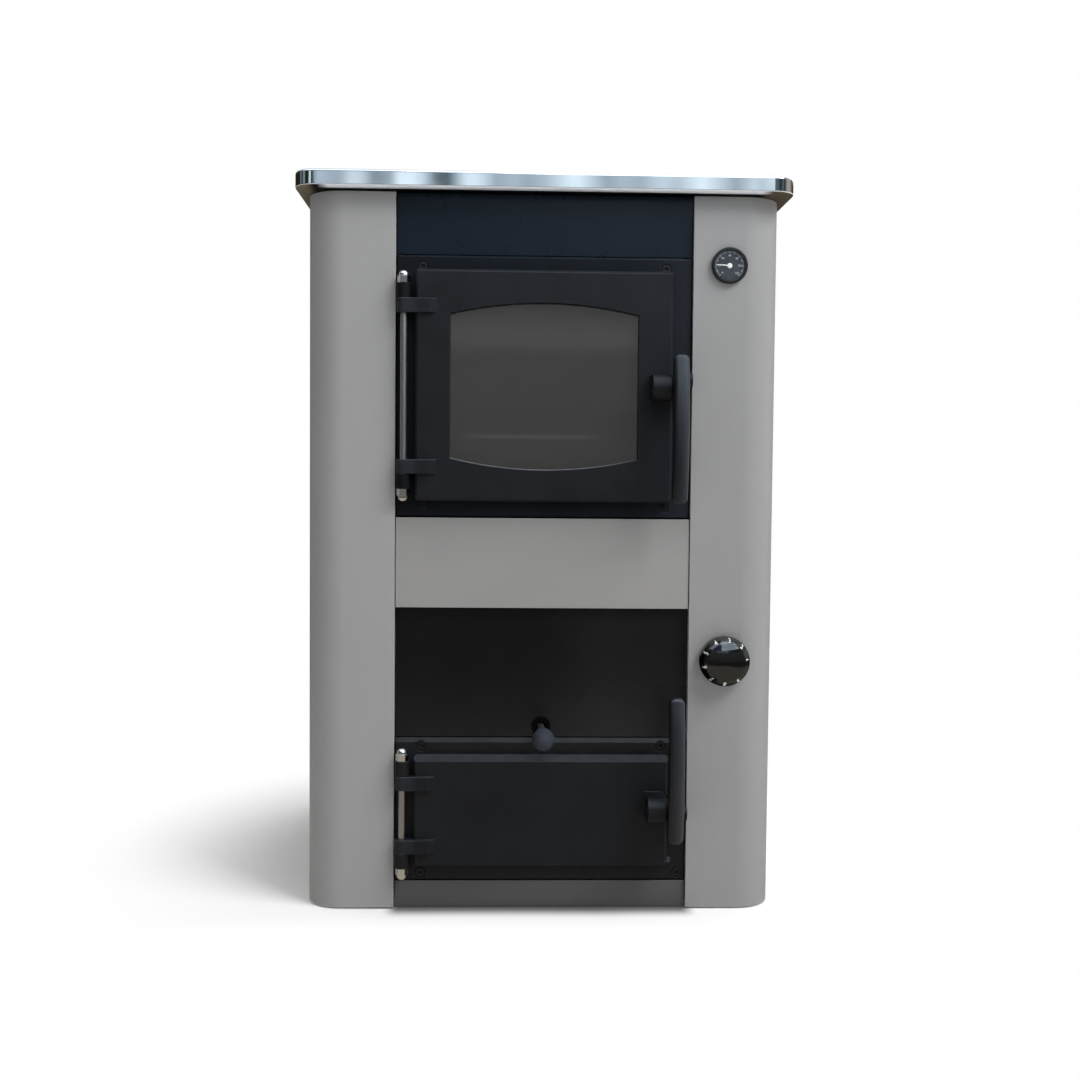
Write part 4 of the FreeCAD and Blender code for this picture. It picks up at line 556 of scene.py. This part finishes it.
FIGURE_SIZE_SHARE = 1.42
FIGURE_STAND = Matrix(((1, 0, 0), (0, 0, -1), (0, 1, 0))).to_4x4()


def figures(work, text, height, centre, turn, front, thickness, bold=0.0):
    """Figures on an upright plane, turned clockwise about their own centre."""
    curve = bpy.data.curves.new("figures", "FONT")
    curve.body = text
    curve.size = height * FIGURE_SIZE_SHARE
    curve.align_x = "CENTER"
    curve.align_y = "CENTER"
    curve.extrude = thickness / 2
    curve.offset = bold
    curve.resolution_u = 3
    holder = bpy.data.objects.new("figures", curve)
    mesh = bpy.data.meshes.new_from_object(holder)
    bpy.data.objects.remove(holder)
    mesh.transform(Matrix.Translation((centre[0], front + thickness / 2, centre[1]))
                   @ FIGURE_STAND @ Matrix.Rotation(-turn, 4, "Z"))
    work.from_mesh(mesh)
    bpy.data.meshes.remove(mesh)


def polar(centre, radius, clock):
    """A point at a clockwise angle from twelve o'clock."""
    return (centre[0] + radius * math.sin(clock), centre[1] + radius * math.cos(clock))


def centre_of(label):
    """The middle (x, z) of a node's box."""
    low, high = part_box(label)
    return ((low[0] + high[0]) / 2, (low[2] + high[2]) / 2)


DIAL_TICKS = 60
DIAL_SWEEP = math.radians(270)
DIAL_STEP = 20
DIAL_LAST = 120
TICKS_TO_LONG = 5
TICK_OUTER = 0.93
LONG_TICK = (0.80, 0.50 * MM)
SHORT_TICK = (0.86, 0.28 * MM)
PRINT_RELIEF = 0.08 * MM
DIAL_FIGURE = 2.3 * MM
DIAL_FIGURE_REACH = 0.66


def dial_marks():
    """Ring of ticks and plain numbers on the thermometer's dial."""
    centre = centre_of("thermometer_dial")
    low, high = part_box("thermometer_dial")
    face = low[1]
    reach = (high[0] - low[0]) / 2
    work = bmesh.new()
    for tick in range(DIAL_TICKS + 1):
        clock = DIAL_SWEEP * (tick / DIAL_TICKS - 0.5)
        inner, width = SHORT_TICK if tick % TICKS_TO_LONG else LONG_TICK
        outline = taper(polar(centre, reach * inner, clock),
                        polar(centre, reach * TICK_OUTER, clock), width / 2, width / 2)
        prism(work, outline, face - PRINT_RELIEF, face)
    count = DIAL_LAST // DIAL_STEP
    for index in range(count + 1):
        clock = DIAL_SWEEP * (index / count - 0.5)
        figures(work, str(index * DIAL_STEP), DIAL_FIGURE,
                polar(centre, reach * DIAL_FIGURE_REACH, clock), 0.0,
                face - PRINT_RELIEF, PRINT_RELIEF)
    piece("dial_marks", work, DIAL_PRINT, "cooker")


POINTER_LENGTH = 15.1 * MM
POINTER_TAIL = 1.0 * MM
POINTER_CLOCK = math.radians(-86)
POINTER_HALF_WIDTHS = (0.9 * MM, 0.35 * MM)
POINTER_INSET = 0.1 * MM
HUB_RADIUS = 2.9 * MM
HUB_TOP_SHARE = 0.85
HUB_SIDES = 28


def pointer():
    """Slim pointer with a round hub, in place of the plain one."""
    low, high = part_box("thermometer_pointer")
    centre = centre_of("thermometer_dial")
    work = bmesh.new()
    outline = taper(polar(centre, -POINTER_TAIL, POINTER_CLOCK),
                    polar(centre, POINTER_LENGTH, POINTER_CLOCK), *POINTER_HALF_WIDTHS)
    prism(work, outline, low[1] + POINTER_INSET, high[1] - POINTER_INSET)
    rise = high[1] - low[1]
    turned_head(work, (centre[0], high[1], centre[1]),
                [(HUB_RADIUS, 0), (HUB_RADIUS, rise - POINTER_INSET),
                 (HUB_RADIUS * HUB_TOP_SHARE, rise)], HUB_SIDES, TO_FRONT)
    thing = piece("pointer", work, WHITE, "thermometer_pointer")
    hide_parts("thermometer_pointer")


KNOB_NUMBERS = 9
KNOB_FIRST = math.radians(82)
KNOB_STEP = math.radians(-37)
KNOB_FIGURE = 4.6 * MM
KNOB_FIGURE_REACH = 0.87
KNOB_FIGURE_BOLD = 0.12 * MM
KNOB_FIGURE_AWAY = 10 * MM
KNOB_FIGURE_THICK = 1 * MM
KNOB_FIGURE_SPLIT = 1.2 * MM
KNOB_FIGURE_RISE = 0.12 * MM
KNOB_FIGURE_SINK = 0.1 * MM


def knob_numbers():
    """Plain numbers laid on the regulator knob's rounded edge."""
    mesh = nodes["regulator_knob"].data
    surface = BVHTree.FromPolygons([v.co for v in mesh.vertices],
                                   [p.vertices for p in mesh.polygons])
    centre = centre_of("regulator_knob")
    low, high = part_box("regulator_knob")
    radius = (high[0] - low[0]) / 2
    start = low[1] - KNOB_FIGURE_AWAY
    work = bmesh.new()
    for index in range(KNOB_NUMBERS):
        clock = KNOB_FIRST + KNOB_STEP * index
        figures(work, str(index + 1), KNOB_FIGURE,
                polar(centre, radius * KNOB_FIGURE_REACH, clock), clock,
                start, KNOB_FIGURE_THICK, KNOB_FIGURE_BOLD)
    bmesh.ops.triangulate(work, faces=work.faces)
    long_edges = [e for e in work.edges if e.calc_length() > KNOB_FIGURE_SPLIT]
    bmesh.ops.subdivide_edges(work, edges=long_edges, cuts=1)
    bmesh.ops.triangulate(work, faces=work.faces)
    for vert in work.verts:
        outer = vert.co.y < start + KNOB_FIGURE_THICK / 2
        lifted = KNOB_FIGURE_RISE if outer else -KNOB_FIGURE_SINK
        ray_start = Vector((vert.co.x, start - MM, vert.co.z))
        hit = surface.ray_cast(ray_start, TO_BACK)[0]
        if hit is not None:
            vert.co.y = hit.y - lifted
    piece("knob_numbers", work, MARKING, "regulator_knob")


ROPE_WIDTH = 8 * MM
ROPE_STEP = 1.5 * MM
ROPE_PITCH = 9 * MM
ROPE_SIDES = 16
ROPE_RELIEF = 0.16
ROPE_TURN_SHARE = 0.55
ROPE_TURN_STEPS = 6
ROPE_STRANDS = 3


def rope_path(low, high):
    """Closed path along the middle of the groove, with rounded corners."""
    wide = ROPE_WIDTH / 2
    centre_y = (high[1] + low[1]) / 2
    turn = ROPE_WIDTH * ROPE_TURN_SHARE
    left, right = low[0] + wide + turn, high[0] - wide - turn
    bottom, top = low[2] + wide + turn, high[2] - wide - turn
    path = []
    for x, z, first in ((right, top, 90), (right, bottom, 0), (left, bottom, -90),
                        (left, top, -180)):
        for step in range(ROPE_TURN_STEPS + 1):
            angle = math.radians(first - 90 * step / ROPE_TURN_STEPS)
            path.append(Vector((x + turn * math.cos(angle), centre_y,
                                z + turn * math.sin(angle))))
    path.append(path[0].copy())
    return path


def rope(name, label, body):
    """Braided round rope along the door's groove, in place of a plain seal."""
    low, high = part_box(label)
    wide = ROPE_WIDTH / 2
    deep = (high[1] - low[1]) / 2
    path = rope_path(low, high)
    rings = []
    travelled = 0.0
    for start, end in zip(path, path[1:]):
        length = (end - start).length
        count = max(1, round(length / ROPE_STEP))
        for step in range(count):
            rings.append((start.lerp(end, step / count), (end - start).normalized(),
                          travelled + length * step / count))
        travelled += length
    pitch = travelled / round(travelled / ROPE_PITCH)
    work = bmesh.new()
    loops = []
    for point, along, distance in rings:
        side = along.cross(TO_FRONT).normalized()
        phase = 2 * math.pi * distance / pitch
        loop = []
        for step in range(ROPE_SIDES):
            angle = 2 * math.pi * step / ROPE_SIDES
            weave = (math.cos(ROPE_STRANDS * angle + phase)
                     * math.cos(ROPE_STRANDS * angle - phase))
            braid = 1 - ROPE_RELIEF * (0.5 - 0.5 * weave)
            loop.append(work.verts.new(point + side * wide * braid * math.cos(angle)
                                       + TO_FRONT * deep * braid * math.sin(angle)))
        loops.append(loop)
    for index, loop in enumerate(loops):
        after = loops[(index + 1) % len(loops)]
        for step in range(ROPE_SIDES):
            beside = (step + 1) % ROPE_SIDES
            face = work.faces.new((loop[step], loop[beside], after[beside], after[step]))
            face.smooth = True
    thing = piece(name, work, ROPE, body)
    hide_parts(label)


ROUND_SIDES = 24
HEXAGON_SIDES = 6
SCREW_INSET = 9 * MM
SCREW_HEIGHTS = (0.035, 0.27, 0.5, 0.73, 0.965)
SCREW_FLANGE = [(5.2 * MM, 0), (5.2 * MM, 0.4 * MM), (4.4 * MM, 0.9 * MM)]
SCREW_HEXAGON = [(3.9 * MM, 0.8 * MM), (3.9 * MM, 3.2 * MM), (3.3 * MM, 3.7 * MM)]


def back_screws():
    """Flanged hexagon screws that hold the back panel to the frame."""
    low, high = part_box("back_panel")
    work = bmesh.new()
    for x in (low[0] + SCREW_INSET, high[0] - SCREW_INSET):
        for share in SCREW_HEIGHTS:
            place = (x, high[1], low[2] + (high[2] - low[2]) * share)
            turned_head(work, place, SCREW_FLANGE, ROUND_SIDES, TO_BACK)
            turned_head(work, place, SCREW_HEXAGON, HEXAGON_SIDES, TO_BACK)
    piece("back_screws", work, ZINC, "cooker")


PIN_OFFSET = (2.6 * MM, 4.4 * MM)
PIN_PROFILE = [(3.3 * MM, 0), (3.3 * MM, 0.5 * MM), (3.0 * MM, 0.8 * MM),
               (2.2 * MM, 0.8 * MM), (2.0 * MM, 0.5 * MM), (1.9 * MM, 0.1 * MM)]


def frame_pin():
    """Small tubular pin end beside the ash door's lower corner."""
    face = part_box("fire_frame_screws")[0][1]
    low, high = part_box("ash_door_panel")
    work = bmesh.new()
    turned_head(work, (high[0] + PIN_OFFSET[0], face, low[2] + PIN_OFFSET[1]),
                PIN_PROFILE, ROUND_SIDES, TO_FRONT)
    piece("ash_frame_pin", work, PIN, "cooker")


WINDOW_HALF = 108 * MM
WINDOW_LOW = 526 * MM
WINDOW_RISE = 13 * MM
WINDOW_RADIUS = (WINDOW_HALF ** 2 + WINDOW_RISE ** 2) / (2 * WINDOW_RISE)
ARC_HIGHLIGHT_SECTION = ((0.0, 0.0), (0.0, 0.9 * MM), (0.3 * MM, 0.72 * MM), (0.4 * MM, 0.0))
ARC_HIGHLIGHT_STEPS = 36


def window_arc_highlight():
    """A pale strip along the window's lower arc: a painted highlight of the opening's edge."""
    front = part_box("fire_door_glass")[0][1]
    work = bmesh.new()
    rows = []
    for step in range(ARC_HIGHLIGHT_STEPS + 1):
        x = WINDOW_HALF * (2 * step / ARC_HIGHLIGHT_STEPS - 1)
        sag = math.sqrt(WINDOW_RADIUS ** 2 - x * x)
        z = WINDOW_LOW + WINDOW_RADIUS - WINDOW_RISE - sag
        rows.append([work.verts.new((x, front - proud, z + rise))
                     for proud, rise in ARC_HIGHLIGHT_SECTION])
    for row, after in zip(rows, rows[1:]):
        for index in range(len(ARC_HIGHLIGHT_SECTION)):
            beside = (index + 1) % len(ARC_HIGHLIGHT_SECTION)
            work.faces.new((row[index], row[beside], after[beside], after[index]))
    work.faces.new(rows[0])
    work.faces.new(rows[-1][::-1])
    piece("window_arc_highlight", work, ARC_HIGHLIGHT, "fire_door")


dial_marks()
pointer()
knob_numbers()
rope("fire_door_rope", "fire_door_seal", "fire_door")
rope("ash_door_rope", "ash_door_seal", "ash_door")
back_screws()
frame_pin()
window_arc_highlight()

# Camera at the photograph's place
FOCAL_PIXELS = 1300
IMAGE_PIXELS = 1080
SENSOR = 36
EYE = Vector((-0.0514, -1.7671, 0.4991))
YAW, PITCH, ROLL = -0.0320, 0.0442, 0.0088


def turned(yaw, pitch, roll):
    """Rows: the camera's right, down and forward directions in the object's axes."""
    base = Matrix(((1, 0, 0), (0, 0, -1), (0, 1, 0)))
    return (Matrix.Rotation(roll, 3, "Z") @ Matrix.Rotation(pitch, 3, "X")
            @ Matrix.Rotation(yaw, 3, "Y") @ base)


right, down, forward = turned(YAW, PITCH, ROLL)
lens = bpy.data.cameras.new("camera")
lens.sensor_width = SENSOR
lens.lens = SENSOR * FOCAL_PIXELS / IMAGE_PIXELS
camera = bpy.data.objects.new("camera", lens)
scene.collection.objects.link(camera)
pose = Matrix((right, -down, -forward)).transposed().to_4x4()
pose.translation = EYE
camera.matrix_world = pose
scene.camera = camera


# Floor, room and light
class Shade(Nodes):
    """A material of the surroundings, from its own shaders."""

    def __init__(self, name):
        self.material = bpy.data.materials.new(name)
        self.material.use_nodes = True
        super().__init__(self.material.node_tree)
        self.tree.nodes.clear()
        self.output = self.node("ShaderNodeOutputMaterial").inputs["Surface"]
        self.x, self.y, self.z = self.split(self.node("ShaderNodeTexCoord").outputs["Object"])

    def far(self):
        """Distance from the middle of the floor."""
        return self.math("SQRT", self.math("ADD", self.product(self.x, self.x),
                                           self.product(self.y, self.y)))

    def glow(self, tint):
        """Plain emission of a colour, as the whole material."""
        emission = self.node("ShaderNodeEmission")
        self.link(tint, emission.inputs["Color"])
        self.link(emission.outputs[0], self.output)
        return self.material


def flat_grid(name, left, right, near, far, height, cuts):
    """A level rectangle in finely split faces."""
    work = bmesh.new()
    reach = Matrix.Diagonal(((right - left) / 2, (far - near) / 2, 1, 1))
    middle = Matrix.Translation(((left + right) / 2, (near + far) / 2, height))
    bmesh.ops.create_grid(work, x_segments=cuts, y_segments=cuts, size=1,
                          matrix=middle @ reach)
    return mesh_of(name, work)


def ring(name, start, end, steps):
    """A full ring about the upright axis between two edges (radius, height)."""
    work = bmesh.new()
    before = None
    for step in range(steps + 1):
        angle = math.pi * (2 * step / steps - 1)
        pair = [work.verts.new((radius * math.sin(angle), -radius * math.cos(angle), z))
                for radius, z in (start, end)]
        if before:
            work.faces.new((before[0], pair[0], pair[1], before[1]))
        before = pair
    return mesh_of(name, work)


def card(name, mesh, material):
    """A stage surface that only reflections see."""
    thing = placed(name, mesh, material)
    thing.visible_camera = False
    thing.visible_diffuse = False
    thing.visible_transmission = False
    thing.visible_volume_scatter = False
    thing.visible_shadow = False


FLOOR_HALF = 6.0
FLOOR_CUTS = 24
FLOOR_TONES = colour(243, 243, 243), colour(246, 246, 246)
FLOOR_FADE = (0.30, 0.62)
FLOOR_FRONT_FADE = (-0.265, -0.345)
FLOOR_LIFT = 0.05
# Painted contact shadow on the floor in front of the base, between the columns
PAINTED_SHADOW_DEPTH = (-0.300, -0.262)
PAINTED_SHADOW_SIDES = (0.185, 0.165)
PAINTED_SHADOW_BACK = (0.05, -0.10)
PAINTED_SHADOW_TONE = grey(0.10)


def floor_finish():
    """Pale floor that keeps the shadow, with a painted contact shadow in front of the base,
    and runs out to plain white.
    """
    shade = Shade("floor_pale")
    seen = shade.seen()
    pale = shade.mottled(shade.noise(1.5), *FLOOR_TONES, *NOISE_MIDDLE)
    ahead = shade.spread(shade.y, *PAINTED_SHADOW_DEPTH, smooth=True)
    beside = shade.spread(shade.math("ABSOLUTE", shade.x), *PAINTED_SHADOW_SIDES, smooth=True)
    behind = shade.spread(shade.y, *PAINTED_SHADOW_BACK, smooth=True)
    painted_shadow = shade.product(shade.product(ahead, beside), behind)
    paint = shade.node("ShaderNodeBsdfDiffuse")
    shade.link(shade.mix(painted_shadow, pale, PAINTED_SHADOW_TONE), paint.inputs["Color"])
    lift = shade.node("ShaderNodeEmission")
    shade.link(shade.product(seen, FLOOR_LIFT), lift.inputs["Strength"])
    near = shade.node("ShaderNodeAddShader")
    shade.link(paint.outputs[0], near.inputs[0])
    shade.link(lift.outputs[0], near.inputs[1])
    fade = shade.math("MAXIMUM", shade.spread(shade.y, *FLOOR_FRONT_FADE, smooth=True),
                      shade.spread(shade.far(), *FLOOR_FADE, smooth=True))
    mixed = shade.node("ShaderNodeMixShader")
    shade.link(shade.product(seen, fade), mixed.inputs[0])
    shade.link(near.outputs[0], mixed.inputs[1])
    shade.link(shade.node("ShaderNodeEmission").outputs[0], mixed.inputs[2])
    shade.link(mixed.outputs[0], shade.output)
    return shade.material


floor = placed("floor", flat_grid("floor", -FLOOR_HALF, FLOOR_HALF, -FLOOR_HALF, FLOOR_HALF,
                                  0.0, FLOOR_CUTS), floor_finish())

# What gloss and metal reflect: a round room about the object. Places along its walls are in
# degrees from the front, growing towards +X, and heights in metres. Four numbers are a
# stretch: where it starts, where it is full, where it is still full and where it ends.
WALL_STEPS = 96
LEVEL_STEPS = 64
SKYLIGHT_CUTS = 8
ROOM_RADIUS = 3.2
ROOM_HEIGHT = 3.0
BRIGHT = (0.88, 1.05, 1.15, 1)
PALE = (0.66, 0.78, 0.88, 1)
WALL = (0.46, 0.56, 0.66, 1)
SHADED = (0.35, 0.43, 0.51, 1)
DUSK = (0.24, 0.30, 0.36, 1)
DARK = (0.10, 0.145, 0.17, 1)
OLIVE = (0.016, 0.017, 0.010, 1)
STONE = (0.34, 0.33, 0.32, 1)
BROWN = (0.16, 0.11, 0.07, 1)
NAVY = (0.10, 0.15, 0.33, 1)
BAND_HEIGHTS = (1.25, 1.35, 1.58, 1.62)
FRONT_LEFT_EDGE = (-12.0, -13.0)
FRONT_RIGHT_EDGE = (16.0, 17.0)
FRONT_BANDS = [
    (-13, DUSK), (-11.6, WALL), (-10.6, SHADED), (-9.9, PALE), (-9.3, PALE), (-8.5, DUSK),
    (-7.6, DUSK), (-7.0, BRIGHT), (-6.0, BRIGHT), (-5.3, WALL), (-4.85, DARK), (-4.1, DARK),
    (-3.5, WALL), (-2.8, BRIGHT), (-1.9, PALE), (-1.2, SHADED), (-0.1, WALL), (0.6, SHADED),
    (1.8, WALL), (3.6, BRIGHT), (5.3, SHADED), (6.5, WALL), (7.3, SHADED), (8.8, PALE),
    (9.6, WALL), (11.1, BRIGHT), (11.9, PALE), (13.1, SHADED), (14.2, PALE), (14.8, WALL),
    (15.1, BRIGHT), (16, DARK)]
SIDE_BANDS = [
    (-180, OLIVE), (-92, OLIVE), (-86, DUSK), (-80, OLIVE), (-66, DUSK), (-60, OLIVE),
    (-45, OLIVE), (-38, BRIGHT), (-32, OLIVE), (-26, DARK), (-22, WALL), (-18, OLIVE),
    (-12, SHADED), (17, DUSK), (24, DARK), (40, OLIVE), (50, DARK), (62, OLIVE),
    (74, STONE), (96, STONE), (110, BROWN), (140, OLIVE), (180, OLIVE)]
SIDE_WAVER = (-4.0, 4.0)
ROOM_LEVELS = [
    (0.0, (0.08, 0.075, 0.07, 1)), (0.5, grey(0.145)), (0.93, grey(0.15)), (0.98, grey(0.23)),
    (1.06, grey(0.18)), (1.16, (0.12, 0.13, 0.15, 1)), (1.7, (0.13, 0.17, 0.26, 1)),
    (2.2, NAVY), (ROOM_HEIGHT, NAVY)]
BACK_LEVELS = [
    (0.0, grey(0.10)), (1.3, (0.16, 0.16, 0.165, 1)), (2.1, (0.34, 0.345, 0.355, 1)),
    (ROOM_HEIGHT, (0.52, 0.53, 0.55, 1))]
BACK_SIDES = (105.0, 125.0)
LINE_SIDES = (-4.0, -2.0, 4.0, 6.0)
LINE_HEIGHTS = (0.648, 0.651, 0.657, 0.660)
LINE_GLOW = grey(0.28)
LEFT_SIDES = (-150.0, -140.0, -40.0, -25.0)
LEFT_GLOW = (0.045, 0.045, 0.042, 1), grey(0.13)
RIGHT_SIDES = (76.0, 84.0, 118.0, 126.0)
RIGHT_GLOW = (0.55, 0.58, 0.61, 1)
WINDOW_SIDES = (-2.0, 2.0, 56.0, 60.0)
WINDOW_BOTTOM = (1.60, 1.64)
WINDOW_GLOW = (1.8, 2.1, 2.4, 1), (3.9, 4.2, 4.5, 1)
WINDOW_NOISE = (0.4, 0.62)
SKYLIGHT_SIDES = (-0.35, 2.3)
SKYLIGHT_DEPTH = (-3.12, -0.5)
SKYLIGHT_HEIGHT = 2.95
BOARDS = (0.33, 0.30, 0.25, 1), (0.45, 0.41, 0.34, 1)
BEYOND_BOARDS = (0.06, 0.058, 0.056, 1), (0.09, 0.087, 0.085, 1)
BOARDS_START = 0.30
BOARDS_HEIGHT = 0.004
BOARDS_END = (1.15, 1.35)
CEILING = (1.1, 1.25, 1.4, 1), (1.5, 1.65, 1.8, 1)
CEILING_BACK = (0.34, 0.35, 0.37, 1), (0.50, 0.51, 0.53, 1)
CEILING_TURN = (-0.4, 0.5)


def sky(shade):
    """Mottled daylight."""
    return shade.mottled(shade.noise(2.2, 6.0), *WINDOW_GLOW, *WINDOW_NOISE)


def skylight_finish():
    shade = Shade("skylight")
    return shade.glow(sky(shade))


def wall_finish():
    """Pale and dark upright bands at eye height and a bright window above them."""
    shade = Shade("room_walls")
    around = shade.product(shade.math("ARCTAN2", shade.x, shade.product(shade.y, -1.0)),
                           180 / math.pi)
    ripple = shade.noise(7.0)
    wavered = shade.math("ADD", around, shade.spread(ripple, *NOISE_MIDDLE, *SIDE_WAVER))
    side = shade.math("MAXIMUM", shade.spread(around, *FRONT_LEFT_EDGE),
                      shade.spread(around, *FRONT_RIGHT_EDGE))
    upright = shade.mix(side, shade.stops(around, FRONT_BANDS),
                        shade.stops(wavered, SIDE_BANDS))
    levels = shade.stops(shade.z, ROOM_LEVELS)
    line = shade.product(shade.between(around, *LINE_SIDES),
                         shade.between(shade.z, *LINE_HEIGHTS))
    levels = shade.mix(line, levels, LINE_GLOW)
    turned_away = shade.spread(shade.math("ABSOLUTE", around), *BACK_SIDES)
    levels = shade.mix(turned_away, levels, shade.stops(shade.z, BACK_LEVELS))
    levels = shade.mix(shade.between(around, *LEFT_SIDES), levels,
                       shade.mottled(ripple, *LEFT_GLOW))
    levels = shade.mix(shade.between(around, *RIGHT_SIDES), levels, RIGHT_GLOW)
    room = shade.mix(shade.between(shade.z, *BAND_HEIGHTS), levels, upright)
    opening = shade.product(shade.between(around, *WINDOW_SIDES),
                            shade.spread(shade.z, *WINDOW_BOTTOM))
    return shade.glow(shade.mix(opening, room, sky(shade)))


def boards_finish():
    """Warm boards near the object, dark room beyond."""
    shade = Shade("room_floor")
    noise = shade.noise(1.6)
    return shade.glow(shade.mix(shade.spread(shade.far(), *BOARDS_END, smooth=True),
                                shade.mottled(noise, *BOARDS),
                                shade.mottled(noise, *BEYOND_BOARDS)))


def ceiling_finish():
    """Bright ceiling in front of the object, dimmer behind it."""
    shade = Shade("room_ceiling")
    noise = shade.noise(0.8)
    return shade.glow(shade.mix(shade.spread(shade.y, *CEILING_TURN, smooth=True),
                                shade.mottled(noise, *CEILING),
                                shade.mottled(noise, *CEILING_BACK)))


card("room_walls", ring("room_walls", (ROOM_RADIUS, 0.0), (ROOM_RADIUS, ROOM_HEIGHT),
                        WALL_STEPS), wall_finish())
card("room_floor", ring("room_floor", (BOARDS_START, BOARDS_HEIGHT),
                        (ROOM_RADIUS, BOARDS_HEIGHT), LEVEL_STEPS), boards_finish())
card("room_ceiling", ring("room_ceiling", (0.0, ROOM_HEIGHT), (ROOM_RADIUS, ROOM_HEIGHT),
                          LEVEL_STEPS), ceiling_finish())
card("skylight", flat_grid("skylight", *SKYLIGHT_SIDES, *SKYLIGHT_DEPTH, SKYLIGHT_HEIGHT,
                           SKYLIGHT_CUTS), skylight_finish())


def soft_lamp(name, place, target, size, power):
    """A square lamp that looks at a point."""
    lamp = bpy.data.lights.new(name, "AREA")
    lamp.shape = "RECTANGLE"
    lamp.size, lamp.size_y = size
    lamp.energy = power
    thing = bpy.data.objects.new(name, lamp)
    thing.location = place
    look = Vector(target) - Vector(place)
    thing.rotation_euler = look.to_track_quat("-Z", "Y").to_euler()
    scene.collection.objects.link(thing)
    return thing


key = soft_lamp("key_lamp", place=(1.9, -1.6, 2.75), target=(0, 0, 0.4),
                size=(1.8, 1.2), power=105)
key.visible_glossy = False
soft_lamp("back_lamp", place=(0.9, 2.6, 2.0), target=(0, 0, 0.5),
          size=(2.0, 1.0), power=30)

WORLD_LIGHT = 0.5
world = bpy.data.worlds.new("studio")
scene.world = world
world.use_nodes = True
studio = Nodes(world.node_tree)
background = studio.tree.nodes["Background"]
background.inputs["Color"].default_value = (1, 1, 1, 1)
studio.link(studio.spread(studio.seen(), 0.0, 1.0, WORLD_LIGHT, 1.0),
            background.inputs["Strength"])

scene.view_settings.view_transform = "Standard"
